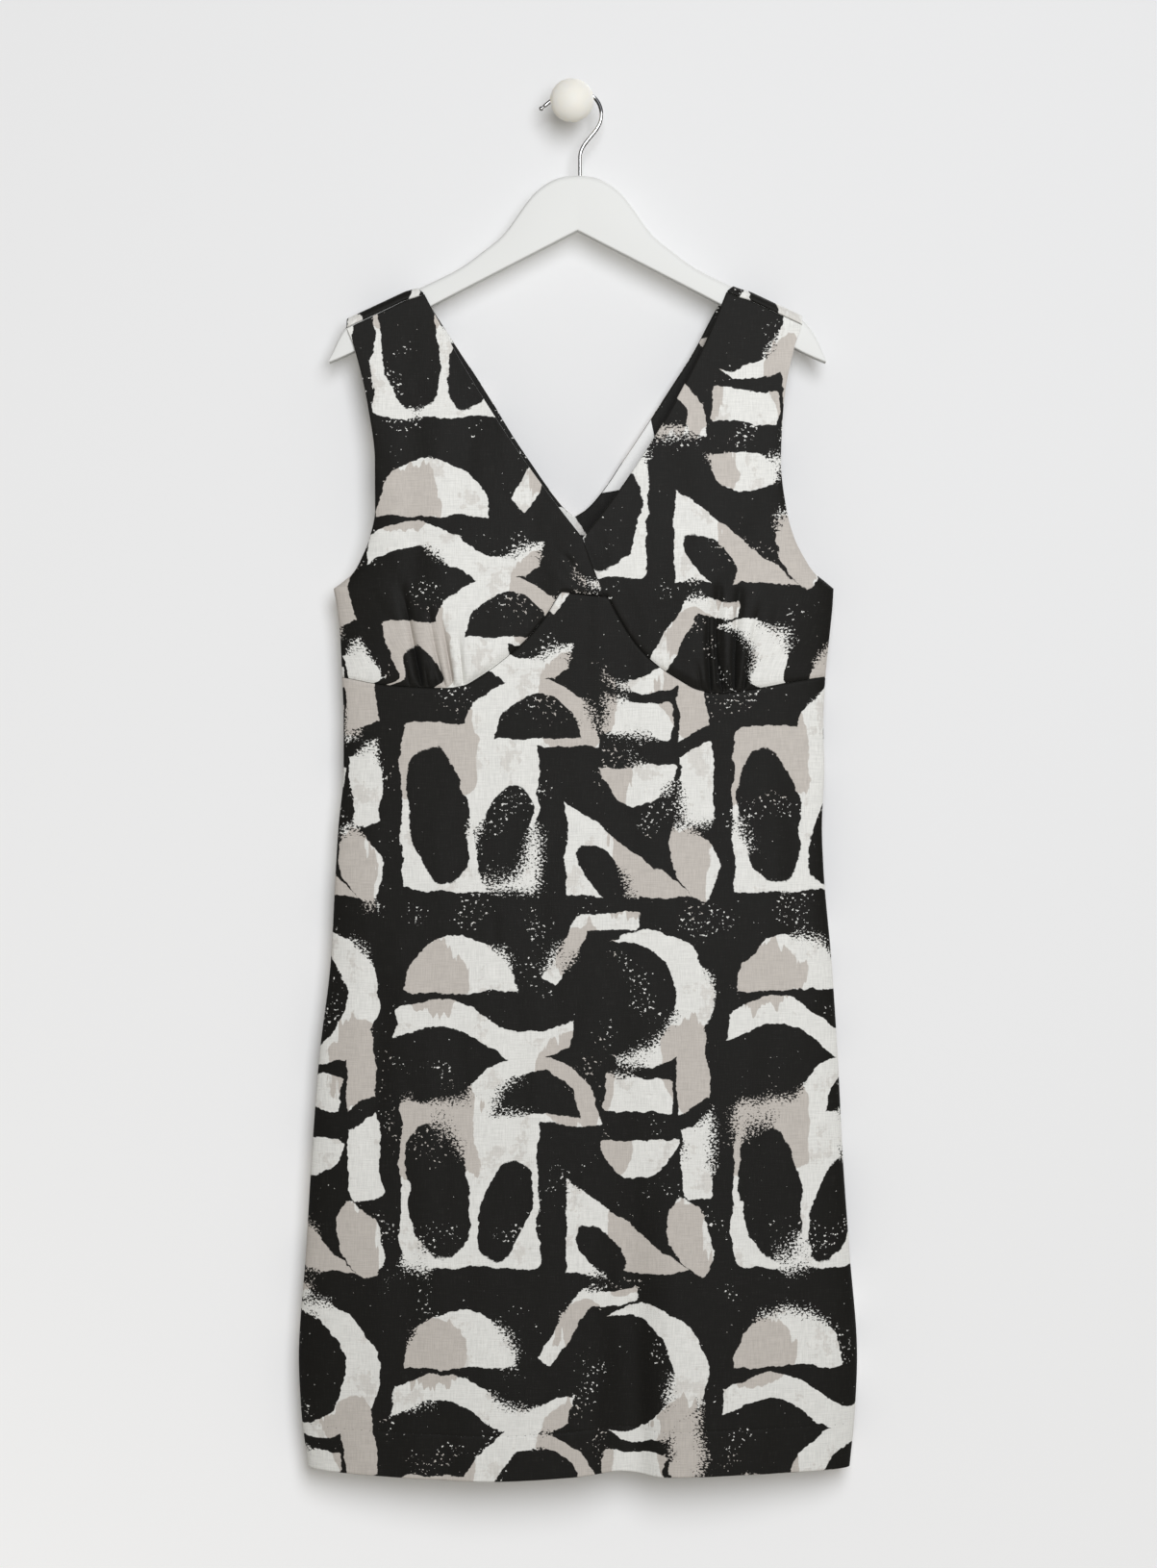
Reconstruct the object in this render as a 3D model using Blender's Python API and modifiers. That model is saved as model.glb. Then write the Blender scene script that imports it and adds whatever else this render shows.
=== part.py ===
"""Sleeveless V-neck shift dress that hangs on a wooden hanger from a round wall knob.

Metres, +Z up. The wall is the plane y = 0, the dress faces -Y, and the origin is the centre of
the knob's flat back. The garment's tables are in millimetres: x across from the hanger's centre
line (left and right as seen from the front), drop below the top of the hanger, and forward from
the wall.
"""

import math

import bmesh
import bpy
import numpy as np
from mathutils import Vector

MM = 0.001

# Where things hang, in mm.
HANGER_X = 5.0  # the hanger's centre line, to the right of the knob's axis
HANGER_TOP = -64.4  # height of the hanger's top, from the knob's axis
HANGER_FORWARD = 26.0  # the plane of the hanger and its hook

# Cloth.
WALL = 1.5  # thickness of a panel's wall
THIN = 1.0  # thickness of the facing and the label
GAP = 0.3  # between pieces
STRIP = 1.8  # straight strip of cloth beside a side seam or an armhole
FULLNESS = 2.6  # how square a panel's cross-section is: 2 is an ellipse

# Shoulders: the back panel wraps over the hanger's arm to a seam at the front.
ARM_X = 139.0  # where the arm's top edge leaves the neck curve
ARM_DROP = 100.2
ARM_SLOPE = 0.47
COVER = 3.8  # the cloth's ridge above the arm
WRAP_HEIGHT = 8.0  # from the ridge down to where the wrap is upright
WRAP_TAIL = 1.3  # upright stretch down to the shoulder seam
SHOULDER_FADE = 60.0  # folds of the bodice die out this near the shoulder seam
SHOULDER_BACK = 15.5
SHOULDER_FRONT = 34.3
SHOULDERS = {"left": (-207.0, -141.8), "right": (200.6, 137.3)}  # outer end, neck end

UNDERARM = 369.5
BACK_V = (-3.0, 304.0)  # bottom of the back neck
FRONT_V = (4.5, 326.0)  # bottom of the front neck, where the bodices cross
LAPS = {"left": (23.4, 13.8), "right": (-10.6, -3.9)}  # x of a bodice's end at the seam, half way
LAP_RISE = 1.9  # the upper bodice stands this far over the lower one
LAP_FROM = (-42.0, 262.0)  # x and drop where it starts to rise
LAP_SPREAD = (28.0, 50.0)  # and how much further on it is up
HEM_SIDE = 1153.7


def table(names, rows):
    """A table's columns by name."""
    return dict(zip(names.split(), np.array(rows, float).T))


ARMHOLES = table(
    "drop left right",
    [
        (90.0, -207.5, 201.2),
        (129.8, -207.0, 200.6),
        (154.0, -199.3, 193.3),
        (205.8, -187.0, 183.6),
        (257.2, -180.4, 181.1),
        (299.9, -180.3, 186.2),
        (325.4, -185.5, 193.4),
        (342.4, -192.5, 202.2),
        (355.3, -200.0, 211.0),
        (362.3, -208.0, 220.0),
        (369.5, -218.0, 228.8),
    ],
)

SIDES = table(
    "drop left right",
    [
        (369.5, -218.0, 228.8),
        (384.9, -215.0, 227.9),
        (402.1, -212.8, 226.2),
        (448.5, -210.3, 221.5),
        (490.0, -209.0, 219.7),
        (531.1, -209.0, 220.4),
        (582.7, -213.7, 218.4),
        (617.1, -215.9, 219.7),
        (703.1, -220.7, 227.1),
        (789.1, -231.0, 232.7),
        (875.2, -237.5, 237.0),
        (961.4, -242.7, 243.1),
        (1056.0, -249.2, 250.0),
        (1099.1, -247.4, 248.3),
        (1160.0, -240.0, 242.6),
    ],
)

# How far forward the cloth hangs, at the edges and in the middle of the front and back.
SECTIONS = table(
    "drop front_edge front back_edge back",
    [
        (90, 32.5, 34.3, 17.3, 15.5),
        (140, 32.8, 34.9, 17.3, 15.3),
        (200, 34.5, 40.5, 17.0, 13.5),
        (260, 36.0, 46.5, 17.2, 12.5),
        (320, 34.0, 51.0, 18.8, 11.8),
        (350, 30.5, 52.0, 22.0, 11.4),
        (369.5, 26.0, 52.0, 26.0, 11.0),
        (400, 26.0, 51.5, 26.0, 10.6),
        (448, 26.0, 50.0, 26.0, 10.0),
        (531, 26.0, 48.5, 26.0, 9.6),
        (703, 25.0, 52.0, 25.0, 9.0),
        (875, 25.0, 56.0, 25.0, 8.6),
        (1056, 24.0, 59.5, 24.0, 8.2),
        (1160, 24.0, 60.5, 24.0, 8.2),
    ],
)

# The seam under the two cups, which is the skirt's top edge.
CUP_SEAMS = {
    "left": table(
        "x drop",
        [
            (-210.3, 448.5),
            (-177.0, 455.0),
            (-153.0, 457.3),
            (-116.0, 458.7),
            (-101.0, 456.5),
            (-89.0, 450.2),
            (-48.0, 418.0),
            (-28.5, 395.0),
            (-14.9, 373.5),
        ],
    ),
    "right": table(
        "x drop",
        [
            (26.8, 377.5),
            (34.5, 392.3),
            (53.2, 421.3),
            (69.4, 437.5),
            (90.8, 452.0),
            (106.9, 460.4),
            (125.0, 463.3),
            (156.5, 459.5),
            (192.6, 452.6),
            (221.5, 448.0),
        ],
    ),
}

# Stations along the cup seam, from the side to the middle: each row runs to to_x in this many
# steps for the bodice, and the skirt has a column at every skip-th of them.
STATIONS = {
    "left": table(
        "to_x steps skip",
        [
            (-151, 3, 1),
            (-109, 9, 3),
            (-95, 3, 1),
            (-75, 2, 1),
            (-14.9, 4, 1),
            (-10.6, 1, 1),
            (23.4, 3, 3),
        ],
    ),
    "right": table(
        "to_x steps skip",
        [(160, 3, 1), (104, 12, 2), (80, 2, 1), (26.8, 4, 1), (23.4, 1, 1), (-10.6, 3, 3)],
    ),
}
ROLL = (1.0, 0.993, 0.968, 0.925, 0.87)  # places of the first columns, as shares of half the width

# Neck edges: x of the back's left and right edge at each drop, and of the front's.
BACK_NECK = table(
    "drop left right",
    [
        (98.0, -141.8, 137.3),
        (119.5, -130.3, 125.2),
        (155.0, -107.6, 106.9),
        (196.6, -80.5, 80.3),
        (228.5, -61.2, 58.6),
        (254.7, -43.6, 40.4),
        (282.7, -23.6, 21.1),
        (297.0, -11.5, 8.0),
        (304.0, -3.0, -3.0),
    ],
)
FRONT_NECK_BOW = {"left": 5.0, "right": 8.5}  # how far each front neck edge bows off its chord

# Folds: a line from (x0, drop0) to (x1, drop1), its half width, and how far it stands proud
# (or lies in, below zero) at each end.
FOLD_COLUMNS = "x0 drop0 x1 drop1 width rise0 rise1"
SKIRT_FOLDS = table(
    FOLD_COLUMNS,
    [
        (38, 730, 47, 1165, 23, 0.0, -14.0),
        (-72, 860, -75, 1165, 46, 0.0, 2.5),
        (128, 900, 128, 1165, 36, 0.0, 2.5),
        (192, 560, 197, 690, 11, -2.2, -2.2),
        (-178, 740, -181, 870, 13, -2.2, -2.2),
        (44, 400, 42, 560, 15, -2.0, -1.0),
    ],
)
BODICE_FOLDS = table(
    FOLD_COLUMNS,
    [
        (-118, 400, -112, 425, 52, 5.0, 5.0),
        (132, 400, 130, 425, 50, 5.0, 5.0),
        (-148, 215, -147, 345, 14, -1.8, -2.6),
        (142, 372, 160, 318, 15, -3.4, -1.6),
        (-92, 225, -112, 300, 17, -1.6, -1.0),
        (78, 235, 92, 300, 16, -1.2, -1.2),
    ],
)
# Gathers at the cup seams: troughs that start deep at the seam and run out above it.
GATHERS = table(
    FOLD_COLUMNS,
    [
        (-139, 457, -158, 372, 5.0, -5.2, -1.6),
        (-125, 458, -136, 385, 4.6, -4.8, -0.8),
        (-111, 458, -120, 372, 4.8, -5.4, -1.8),
        (-101, 456, -106, 415, 4.4, -4.4, -0.6),
        (111, 461, 104, 408, 4.4, -4.2, -0.5),
        (123, 463, 126, 372, 5.0, -5.2, -2.0),
        (133, 463, 137, 412, 4.2, -4.6, -0.5),
        (142, 462, 148, 380, 5.0, -5.4, -1.4),
        (152, 460, 163, 398, 4.8, -4.6, -1.0),
    ],
)
BACK_FOLDS = table(
    FOLD_COLUMNS,
    [
        (-60, 640, -66, 1165, 30, 0.0, 3.0),
        (74, 700, 82, 1165, 34, 0.0, 3.25),
        (150, 420, 158, 820, 20, 1.1, 0.0),
        (-150, 430, -146, 760, 22, 1.0, 0.0),
        (0, 330, -4, 640, 26, 1.3, 0.6),
    ],
)
HOLD = 9.0  # folds of the bodice die out this near the cup seam
SEAM_CLEAR = 0.36  # between the skirt's top edge and the bodices, square to the seam

# Hem of the front: it dips a little under the two soft bulges.
HEM = table(
    "x drop",
    [
        (-241, 1153.7),
        (-200, 1155.9),
        (-75, 1159.6),
        (-10, 1156.5),
        (32, 1152.8),
        (75, 1156.8),
        (130, 1155.2),
        (243, 1153.4),
    ],
)

SKIRT_ROWS = 17
BODICE_ROWS = (4, 12)  # below the underarm, above it
BACK_ROWS = (16, 2, 9)  # hem to underarm, underarm to the back V, back V to the shoulders
BACK_COLUMNS = 13  # on each side of the back V, besides the roll
WRAP_STEPS = 8

FACING_TOP = 113.0  # behind the hanger's arm
FACING_DEPTH = 42.0
FACING_STEPS = (30, 2)
NECK_REACH = 0.04  # share of the neck edge that its direction is taken over
LABEL_LONG = 79.0  # long side, at the neck edge; the ends are mitred
LABEL_DEEP = 18.0
LABEL_FROM = (21.1, 282.7)  # its lower corner on the back neck's right edge

# Hanger: the outline of one half, x from the centre line.
HANGER_OUTLINE = table(
    "x top bottom",
    [
        (-16.3, 2.5, 58.3),
        (0.0, 0.4, 49.9),
        (9.0, 1.0, 54.5),
        (16.3, 2.5, 58.3),
        (23.0, 5.2, 61.8),
        (30.0, 9.4, 65.4),
        (37.0, 14.9, 69.0),
        (44.1, 22.9, 72.6),
        (52.7, 35.0, 77.1),
        (63.4, 49.8, 82.6),
        (71.0, 57.8, 86.5),
        (79.1, 64.2, 90.7),
        (104.1, 82.6, 103.6),
        (139.0, 100.2, 122.2),
        (170.0, 114.8, 141.2),
        (200.0, 128.9, 158.2),
        (208.0, 137.5, 162.0),
        (214.6, 148.8, 164.9),
        (221.6, 165.4, 167.8),
    ],
)
HANGER_HALF = 6.0  # half its thickness
HANGER_ROUND = 5.0  # radius along its upper edges
HANGER_KEEN = 1.6  # and along its lower ones
ROUND_MOST = 0.46  # of the height that a thin section is rounded over
HANGER_STEPS = 40
HANGER_BUNCH = 1.15  # draws the sections a little closer towards the middle

# Hook.
WIRE = 1.7  # radius
SHANK_X = 2.3
SHANK_DEEP = 15.0  # below the hanger's top
SHANK_RISE = 8.0  # straight stretch above it
HOLE_CLEAR = 0.3
BEND_FOOT = 16.0  # where the S-bend's own curve starts, above the hanger's top
BEND_HANDLES = (13.0, 12.0)  # pull of that curve at its foot and where it joins the arc
HOOK_CENTRE = (0.1, -54.6)  # x, drop
HOOK_RADII = (21.3, 35.6)  # of the shank's side up to the top, and of the slacker tip's side
HOOK_ARC = (-20.0, 132.0)  # from the shank's side over the top to the tip's side, in degrees
HOOK_TIP = (-34.0, -58.6)
TIP_SWELL = 1.3

# Knob: its profile from the wall forward, turned about its axis.
KNOB = table(
    "forward radius",
    [
        (0.0, 9.4),
        (2.5, 9.4),
        (5.5, 9.0),
        (28.2, 9.0),
        (29.5, 11.8),
        (31.5, 15.4),
        (34.5, 18.3),
        (38.0, 19.4),
        (42.0, 19.0),
        (46.0, 17.0),
        (49.5, 13.2),
        (51.8, 8.0),
        (52.7, 0.0),
    ],
)
KNOB_STEPS = 28

COLOURS = {  # colour, roughness, metallic
    "print_cloth": ((0.022, 0.021, 0.020), 0.85, 0.0),
    "label_cloth": ((0.80, 0.79, 0.76), 0.7, 0.0),
    "painted_wood": ((0.84, 0.83, 0.80), 0.45, 0.0),
    "chrome": ((0.75, 0.75, 0.76), 0.12, 1.0),
    "knob_paint": ((0.80, 0.79, 0.74), 0.35, 0.0),
}


# ---------------------------------------------------------------- curves


def smooth(xs, ys):
    """A cubic through the points that never overshoots them, as a function."""
    step = np.diff(xs)
    slope = np.diff(ys) / step
    tangent = np.concatenate([[slope[0]], np.zeros(len(xs) - 2), [slope[-1]]])
    for i in range(1, len(xs) - 1):
        if slope[i - 1] * slope[i] > 0:
            near, far = 2 * step[i] + step[i - 1], step[i] + 2 * step[i - 1]
            tangent[i] = (near + far) / (near / slope[i - 1] + far / slope[i])

    def at(x):
        x = np.clip(x, xs[0], xs[-1])
        i = np.clip(np.searchsorted(xs, x, side="right") - 1, 0, len(step) - 1)
        t = (x - xs[i]) / step[i]
        blend = t * t * (3 - 2 * t)
        bend = tangent[i] * (1 - t) ** 2 * t - tangent[i + 1] * t * t * (1 - t)
        return ys[i] + (ys[i + 1] - ys[i]) * blend + bend * step[i]

    return at


def ease(t):
    """0 up to 0, 1 from 1, and a soft step between."""
    t = np.clip(t, 0, 1)
    return t * t * (3 - 2 * t)


def along(points, share):
    """The points at these shares of a polyline's length."""
    run = np.concatenate([[0], np.cumsum(np.linalg.norm(np.diff(points, axis=0), axis=1))])
    at = np.asarray(share) * run[-1]
    return np.stack([np.interp(at, run, points[:, k]) for k in range(2)], axis=-1)


def column(rows, name, key="drop"):
    return smooth(rows[key], rows[name])


armhole_edge = {side: column(ARMHOLES, side) for side in ("left", "right")}
side_edge = {side: column(SIDES, side) for side in ("left", "right")}
section = {name: column(SECTIONS, name) for name in SECTIONS if name != "drop"}
cup_seam = {side: column(CUP_SEAMS[side], "drop", "x") for side in CUP_SEAMS}
back_neck = {side: column(BACK_NECK, side) for side in ("left", "right")}
hem_drop = column(HEM, "drop", "x")


def edge(side, drop):
    """x of the garment's outline: the armhole above the underarm, the side seam below."""
    return np.where(drop < UNDERARM, armhole_edge[side](drop), side_edge[side](drop))


def across(x, drop):
    """Where x lies between the outlines, from -1 to 1."""
    left, right = edge("left", drop), edge("right", drop)
    return np.clip((2 * x - left - right) / (right - left), -1, 1)


def x_at(share, drop):
    left, right = edge("left", drop), edge("right", drop)
    return (left + right + share * (right - left)) / 2


def seam_drop(x):
    """The cup seam: the left cup, the short straight top between the cups, and the right cup."""
    a, b = CUP_SEAMS["left"]["x"][-1], CUP_SEAMS["right"]["x"][0]
    top = np.interp(x, (a, b), (CUP_SEAMS["left"]["drop"][-1], CUP_SEAMS["right"]["drop"][0]))
    return np.where(x < a, cup_seam["left"](x), np.where(x > b, cup_seam["right"](x), top))


def ridge(x):
    """Drop of the cloth's ridge over the hanger's arm."""
    return ARM_DROP + ARM_SLOPE * (np.abs(x) - ARM_X) - COVER


def front_neck(side):
    """A front neck edge from the bottom of the V up to the shoulder seam, bowed off its chord
    by a parabola."""
    start = np.array(FRONT_V)
    neck_x = SHOULDERS[side][1]
    end = np.array([neck_x, shoulder_seam(neck_x) + GAP])
    chord = end - start
    off = np.array([chord[1], -chord[0]]) / np.linalg.norm(chord)
    off *= FRONT_NECK_BOW[side] * (1 if side == "left" else -1)
    t = np.linspace(0, 1, 40)[:, None]
    return start + chord * t + 4 * off * t * (1 - t)


def shoulder_seam(x):
    return ridge(x) + WRAP_HEIGHT + WRAP_TAIL


# ---------------------------------------------------------------- surfaces


def folds(rows, x, drop):
    """How far the folds move the cloth forward at these places."""
    total = np.zeros(np.broadcast(x, drop).shape)
    for x0, d0, x1, d1, width, rise0, rise1 in zip(*rows.values()):
        run = math.hypot(x1 - x0, d1 - d0)
        share = ((x - x0) * (x1 - x0) + (drop - d0) * (d1 - d0)) / run**2
        off = ((x - x0) * (d1 - d0) - (drop - d0) * (x1 - x0)) / run
        past = (share - np.clip(share, 0, 1)) * run
        rise = rise0 + (rise1 - rise0) * ease(share)
        total += rise * np.exp(-((off / width) ** 2) - (past / (2 * width)) ** 2)
    return total


def dome(x, drop):
    """0 at the outlines and 1 in the middle, like a flattened tube."""
    return np.sqrt(1 - np.abs(across(x, drop)) ** FULLNESS)


def front_plain(x, drop):
    low = section["front_edge"](drop) + STRIP
    return low + (section["front"](drop) - low) * dome(x, drop)


def skirt_forward(x, drop):
    return front_plain(x, drop) + folds(SKIRT_FOLDS, x, drop) * dome(x, drop)


def bodice_forward(x, drop):
    """The skirt's surface at the cup seam, with the cup's fullness and gathers above it."""
    hold = ease((seam_drop(x) - drop) / HOLD) * dome(x, drop)
    hold = hold * ease((drop - shoulder_seam(x)) / SHOULDER_FADE)
    return skirt_forward(x, drop) + hold * (folds(BODICE_FOLDS, x, drop) + folds(GATHERS, x, drop))


def lapped_forward(x, drop):
    """The bodice that lies over the other one at the bottom of the V."""
    lap = ease((x - LAP_FROM[0]) / LAP_SPREAD[0]) * ease((drop - LAP_FROM[1]) / LAP_SPREAD[1])
    return bodice_forward(x, drop) + LAP_RISE * lap


def back_forward(x, drop):
    low = section["back_edge"](drop) - STRIP
    high = section["back"](drop) - folds(BACK_FOLDS, x, drop)
    return low + (high - low) * dome(x, drop)


def point(x, drop, forward):
    """World position, in metres, of a place on the garment."""
    x, drop, forward = np.broadcast_arrays(x, drop, forward)
    return np.stack([HANGER_X + x, -forward, HANGER_TOP - drop], axis=-1) * MM


# ---------------------------------------------------------------- Blender objects


def clear_scene():
    for obj in list(bpy.data.objects):
        bpy.data.objects.remove(obj, do_unlink=True)


def collection(name, hidden=False):
    made = bpy.data.collections.new(name)
    bpy.context.scene.collection.children.link(made)
    made.hide_render = hidden
    return made


def material(name):
    made = bpy.data.materials.new(name)
    made.use_nodes = True
    colour, roughness, metallic = COLOURS[name]
    shader = made.node_tree.nodes["Principled BSDF"]
    shader.inputs["Base Color"].default_value = (*colour, 1)
    shader.inputs["Roughness"].default_value = roughness
    shader.inputs["Metallic"].default_value = metallic
    return made


def add(name, data, slot, home):
    obj = bpy.data.objects.new(name, data)
    data.materials.append(MATERIALS[slot])
    home.objects.link(obj)
    return obj


def mesh_of(name, grids, outward, caps=()):
    """One mesh of these grids of points, welded where they meet, facing the outward vector."""
    work = bmesh.new()
    for grid in grids:
        rows = [[work.verts.new(p) for p in row] for row in grid]
        for low, high in zip(rows, rows[1:]):
            for a, b, c, d in zip(low, low[1:], high[1:], high):
                work.faces.new((a, b, c, d))
    for ring in caps:
        work.faces.new([work.verts.new(p) for p in ring])
    bmesh.ops.remove_doubles(work, verts=work.verts, dist=0.01 * MM)
    bmesh.ops.recalc_face_normals(work, faces=work.faces)
    facing = sum((face.normal * face.calc_area() for face in work.faces), Vector())
    if facing.dot(outward) < 0:
        bmesh.ops.reverse_faces(work, faces=work.faces)
    mesh = bpy.data.meshes.new(name)
    work.to_mesh(mesh)
    work.free()
    mesh.shade_smooth()
    return mesh


def panel(name, grids, outward, wall, slot="print_cloth"):
    """A cloth piece: the outer face as grids of points, thickened inward."""
    obj = add(name, mesh_of(name, grids, Vector(outward)), slot, DRESS)
    solidify = obj.modifiers.new("wall", "SOLIDIFY")
    solidify.thickness = wall * MM
    solidify.offset = -1
    return obj


# ---------------------------------------------------------------- the dress


def stations(side):
    """Places along the cup seam from the side to a bodice's end, and which the skirt shares."""
    sign = -1 if side == "left" else 1
    side_drop = CUP_SEAMS[side]["drop"][0 if side == "left" else -1]
    xs = [float(x_at(sign * share, side_drop)) for share in ROLL]
    shared = [True] * len(xs)
    for to_x, steps, skip in zip(*STATIONS[side].values()):
        spread = np.linspace(xs[-1], to_x, int(steps) + 1)[1:]
        xs += list(spread)
        shared += [(i + 1) % int(skip) == 0 for i in range(int(steps))]
    return np.array(xs), np.array(shared)


def with_strip(xs, drops, forwards, edge_forward):
    """The grid with one more column, where the strip beside the outline ends at the seam."""
    return (
        np.concatenate([xs[:, :1], xs], axis=1),
        np.concatenate([drops[:, :1], drops], axis=1),
        np.concatenate([edge_forward[:, None], forwards], axis=1),
    )


def outline(side, low, high, count=80):
    """The garment's outline from drop low up to drop high, as points."""
    drop = np.linspace(low, high, count)
    return np.stack([edge(side, drop), drop], axis=1)


def coons(bottom, top, start, end, spread):
    """Points between four edges. Rows run from bottom to top and columns from start to end,
    spaced as spread says at the bottom and evenly at the top."""
    rise = np.linspace(0, 1, len(start))[:, None, None]
    u = (1 - rise) * spread[None, :, None] + rise * np.linspace(0, 1, len(spread))[None, :, None]
    ruled = (1 - rise) * bottom[None] + rise * top[None]
    sides = (1 - u) * start[:, None] + u * end[:, None]
    corners = (1 - rise) * ((1 - u) * bottom[0] + u * bottom[-1])
    corners = corners + rise * ((1 - u) * top[0] + u * top[-1])
    return ruled + sides - corners


def bodice(name, side, surface):
    """A front bodice: cup seam, side seam and armhole, shoulder seam, neck edge and lap."""
    xs, _ = stations(side)
    bottom = np.stack([xs, seam_drop(xs)], axis=1)
    spread = (xs - xs[0]) / (xs[-1] - xs[0])
    top_x = np.linspace(*SHOULDERS[side], len(spread))
    top = np.stack([top_x, shoulder_seam(top_x) + GAP], axis=1)
    below, above = (np.linspace(0, 1, rows + 1) for rows in BODICE_ROWS)
    start = np.concatenate(
        [
            along(outline(side, bottom[0, 1], UNDERARM), below),
            along(outline(side, UNDERARM, top[0, 1]), above)[1:],
        ]
    )
    end_x, half_x = LAPS[side]
    lap = np.array([bottom[-1], (half_x, (bottom[-1, 1] + FRONT_V[1]) / 2), FRONT_V])
    end = np.concatenate([along(lap, below), along(front_neck(side), above)[1:]])
    place = coons(bottom, top, start, end, spread)
    x, drop = place[..., 0], place[..., 1]
    x[:, 0] = edge(side, drop[:, 0])
    tip = section["front_edge"](drop[:, 0]) + GAP / 2
    grid = point(*with_strip(x, drop, surface(x, drop), tip))
    return panel(name, [grid], (0, -1, 0), WALL)


def skirt_front():
    """The front from the cup seam to the hem, in one panel."""
    left, left_shared = stations("left")
    right, right_shared = stations("right")
    middle = left[-1]
    xs = np.concatenate(
        [left[left_shared], right[right_shared & (right > middle + 0.01)][::-1]]
    )
    slope = seam_drop(xs + 0.5) - seam_drop(xs - 0.5)
    top = seam_drop(xs) + SEAM_CLEAR * np.sqrt(1 + slope**2)
    top[[0, -1]] = top[[1, -2]]
    share = across(xs, seam_drop(xs))
    hem = hem_drop(x_at(share, HEM_SIDE))
    rows = np.linspace(0, 1, SKIRT_ROWS + 1)[:, None]
    drop = top + (hem - top) * rows
    x = x_at(share, drop)
    forward = skirt_forward(x, drop)
    low = section["front_edge"](drop) + GAP / 2
    x, drop, forward = with_strip(x, drop, forward, low[:, 0])
    mirrored = with_strip(x[:, ::-1], drop[:, ::-1], forward[:, ::-1], low[:, -1])
    return panel("skirt_front", [point(*mirrored)], (0, -1, 0), WALL)


def back_columns():
    """Shares of the width from one side to the other, with one column at the back V."""
    at_v = float(across(*map(np.array, BACK_V)))
    sides = []
    for sign in (-1, 1):
        inner = np.linspace(0, 1, BACK_COLUMNS - len(ROLL) + 1)[1:]
        rolled = sign * np.array(ROLL)
        sides.append(np.concatenate([rolled, rolled[-1] + (at_v - rolled[-1]) * inner]))
    return sides


def back_arm(side, share, v_row):
    """The back beside the neck V, up the hanger's rear and over its arm to the shoulder seam."""
    spread = (share - share[0]) / (share[-1] - share[0])
    bottom = np.stack([x_at(share, v_row), np.full(len(share), v_row)], axis=1)
    top_x = np.linspace(*SHOULDERS[side], len(spread))
    top = np.stack([top_x, ridge(top_x) + WRAP_HEIGHT], axis=1)
    steps = np.linspace(0, 1, BACK_ROWS[2] + 1)
    start = along(outline(side, v_row, top[0, 1]), steps)
    drop = np.linspace(v_row, top[-1, 1], 80)
    neck_line = np.stack([back_neck[side](drop), drop], axis=1)
    end = along(neck_line, steps)
    place = coons(bottom, top, start, end, spread)
    x, drop = place[..., 0], place[..., 1]
    x[:, 0] = edge(side, drop[:, 0])
    forward = back_forward(x, drop)
    tip = section["back_edge"](drop[:, 0]) - GAP / 2
    x, drop, forward = with_strip(x, drop, forward, tip)
    turn = np.linspace(0, math.pi, WRAP_STEPS + 1)[1:, None]
    middle, reach = (SHOULDER_BACK + SHOULDER_FRONT) / 2, (SHOULDER_FRONT - SHOULDER_BACK) / 2
    top_x = x[-1][None, :]
    over_drop = ridge(top_x) + WRAP_HEIGHT * (1 - np.sin(turn))
    over = middle - reach * np.cos(turn)
    strip = np.zeros(top_x.shape)
    strip[0, 0] = STRIP - GAP / 2
    over = over + strip * np.cos(turn)
    over_drop = over_drop + strip * np.sin(turn)
    over_x = top_x + 0 * turn
    behind = point(x, drop, forward)
    tail = point(over_x[-1:], over_drop[-1:] + WRAP_TAIL, over[-1:])
    wrap = np.concatenate([behind[-1:], point(over_x, over_drop, over), tail])
    return [behind, wrap]


def back():
    """The back in one panel, from the hem to the shoulder seams at the front of the arms."""
    left, right = back_columns()
    share = np.concatenate([left, right[-2::-1]])
    v_row = BACK_V[1]
    drops = np.concatenate(
        [
            np.linspace(HEM_SIDE, UNDERARM, BACK_ROWS[0] + 1),
            np.linspace(UNDERARM, v_row, BACK_ROWS[1] + 1)[1:],
        ]
    )[:, None]
    x = x_at(share, drops)
    drop = drops + 0 * x
    forward = back_forward(x, drop)
    tip = section["back_edge"](drops[:, 0]) - GAP / 2
    x, drop, forward = with_strip(x, drop, forward, tip)
    mirrored = with_strip(x[:, ::-1], drop[:, ::-1], forward[:, ::-1], tip)
    grids = [point(*mirrored)]
    grids += back_arm("left", left, v_row) + back_arm("right", right, v_row)
    return panel("back", grids, (0, 1, 0), WALL)


def back_neck_edge():
    """The back neck from the left shoulder round the V to the right, as x and drop."""
    drop = np.linspace(FACING_TOP, BACK_V[1], 120)
    left = np.stack([back_neck["left"](drop), drop], axis=1)
    right = np.stack([back_neck["right"](drop), drop], axis=1)[::-1]
    return np.concatenate([left, right[1:]])


def beside_neck(share, depth):
    """The place this deep below the back neck's edge, square to it."""
    here = along(back_neck_edge(), share)
    ahead = along(back_neck_edge(), np.clip(share + NECK_REACH, 0, 1))
    behind = along(back_neck_edge(), np.clip(share - NECK_REACH, 0, 1))
    way = ahead - behind
    way /= np.linalg.norm(way, axis=-1, keepdims=True)
    away = np.stack([-way[..., 1], way[..., 0]], axis=-1)
    return here + away * np.asarray(depth)[..., None]


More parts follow.
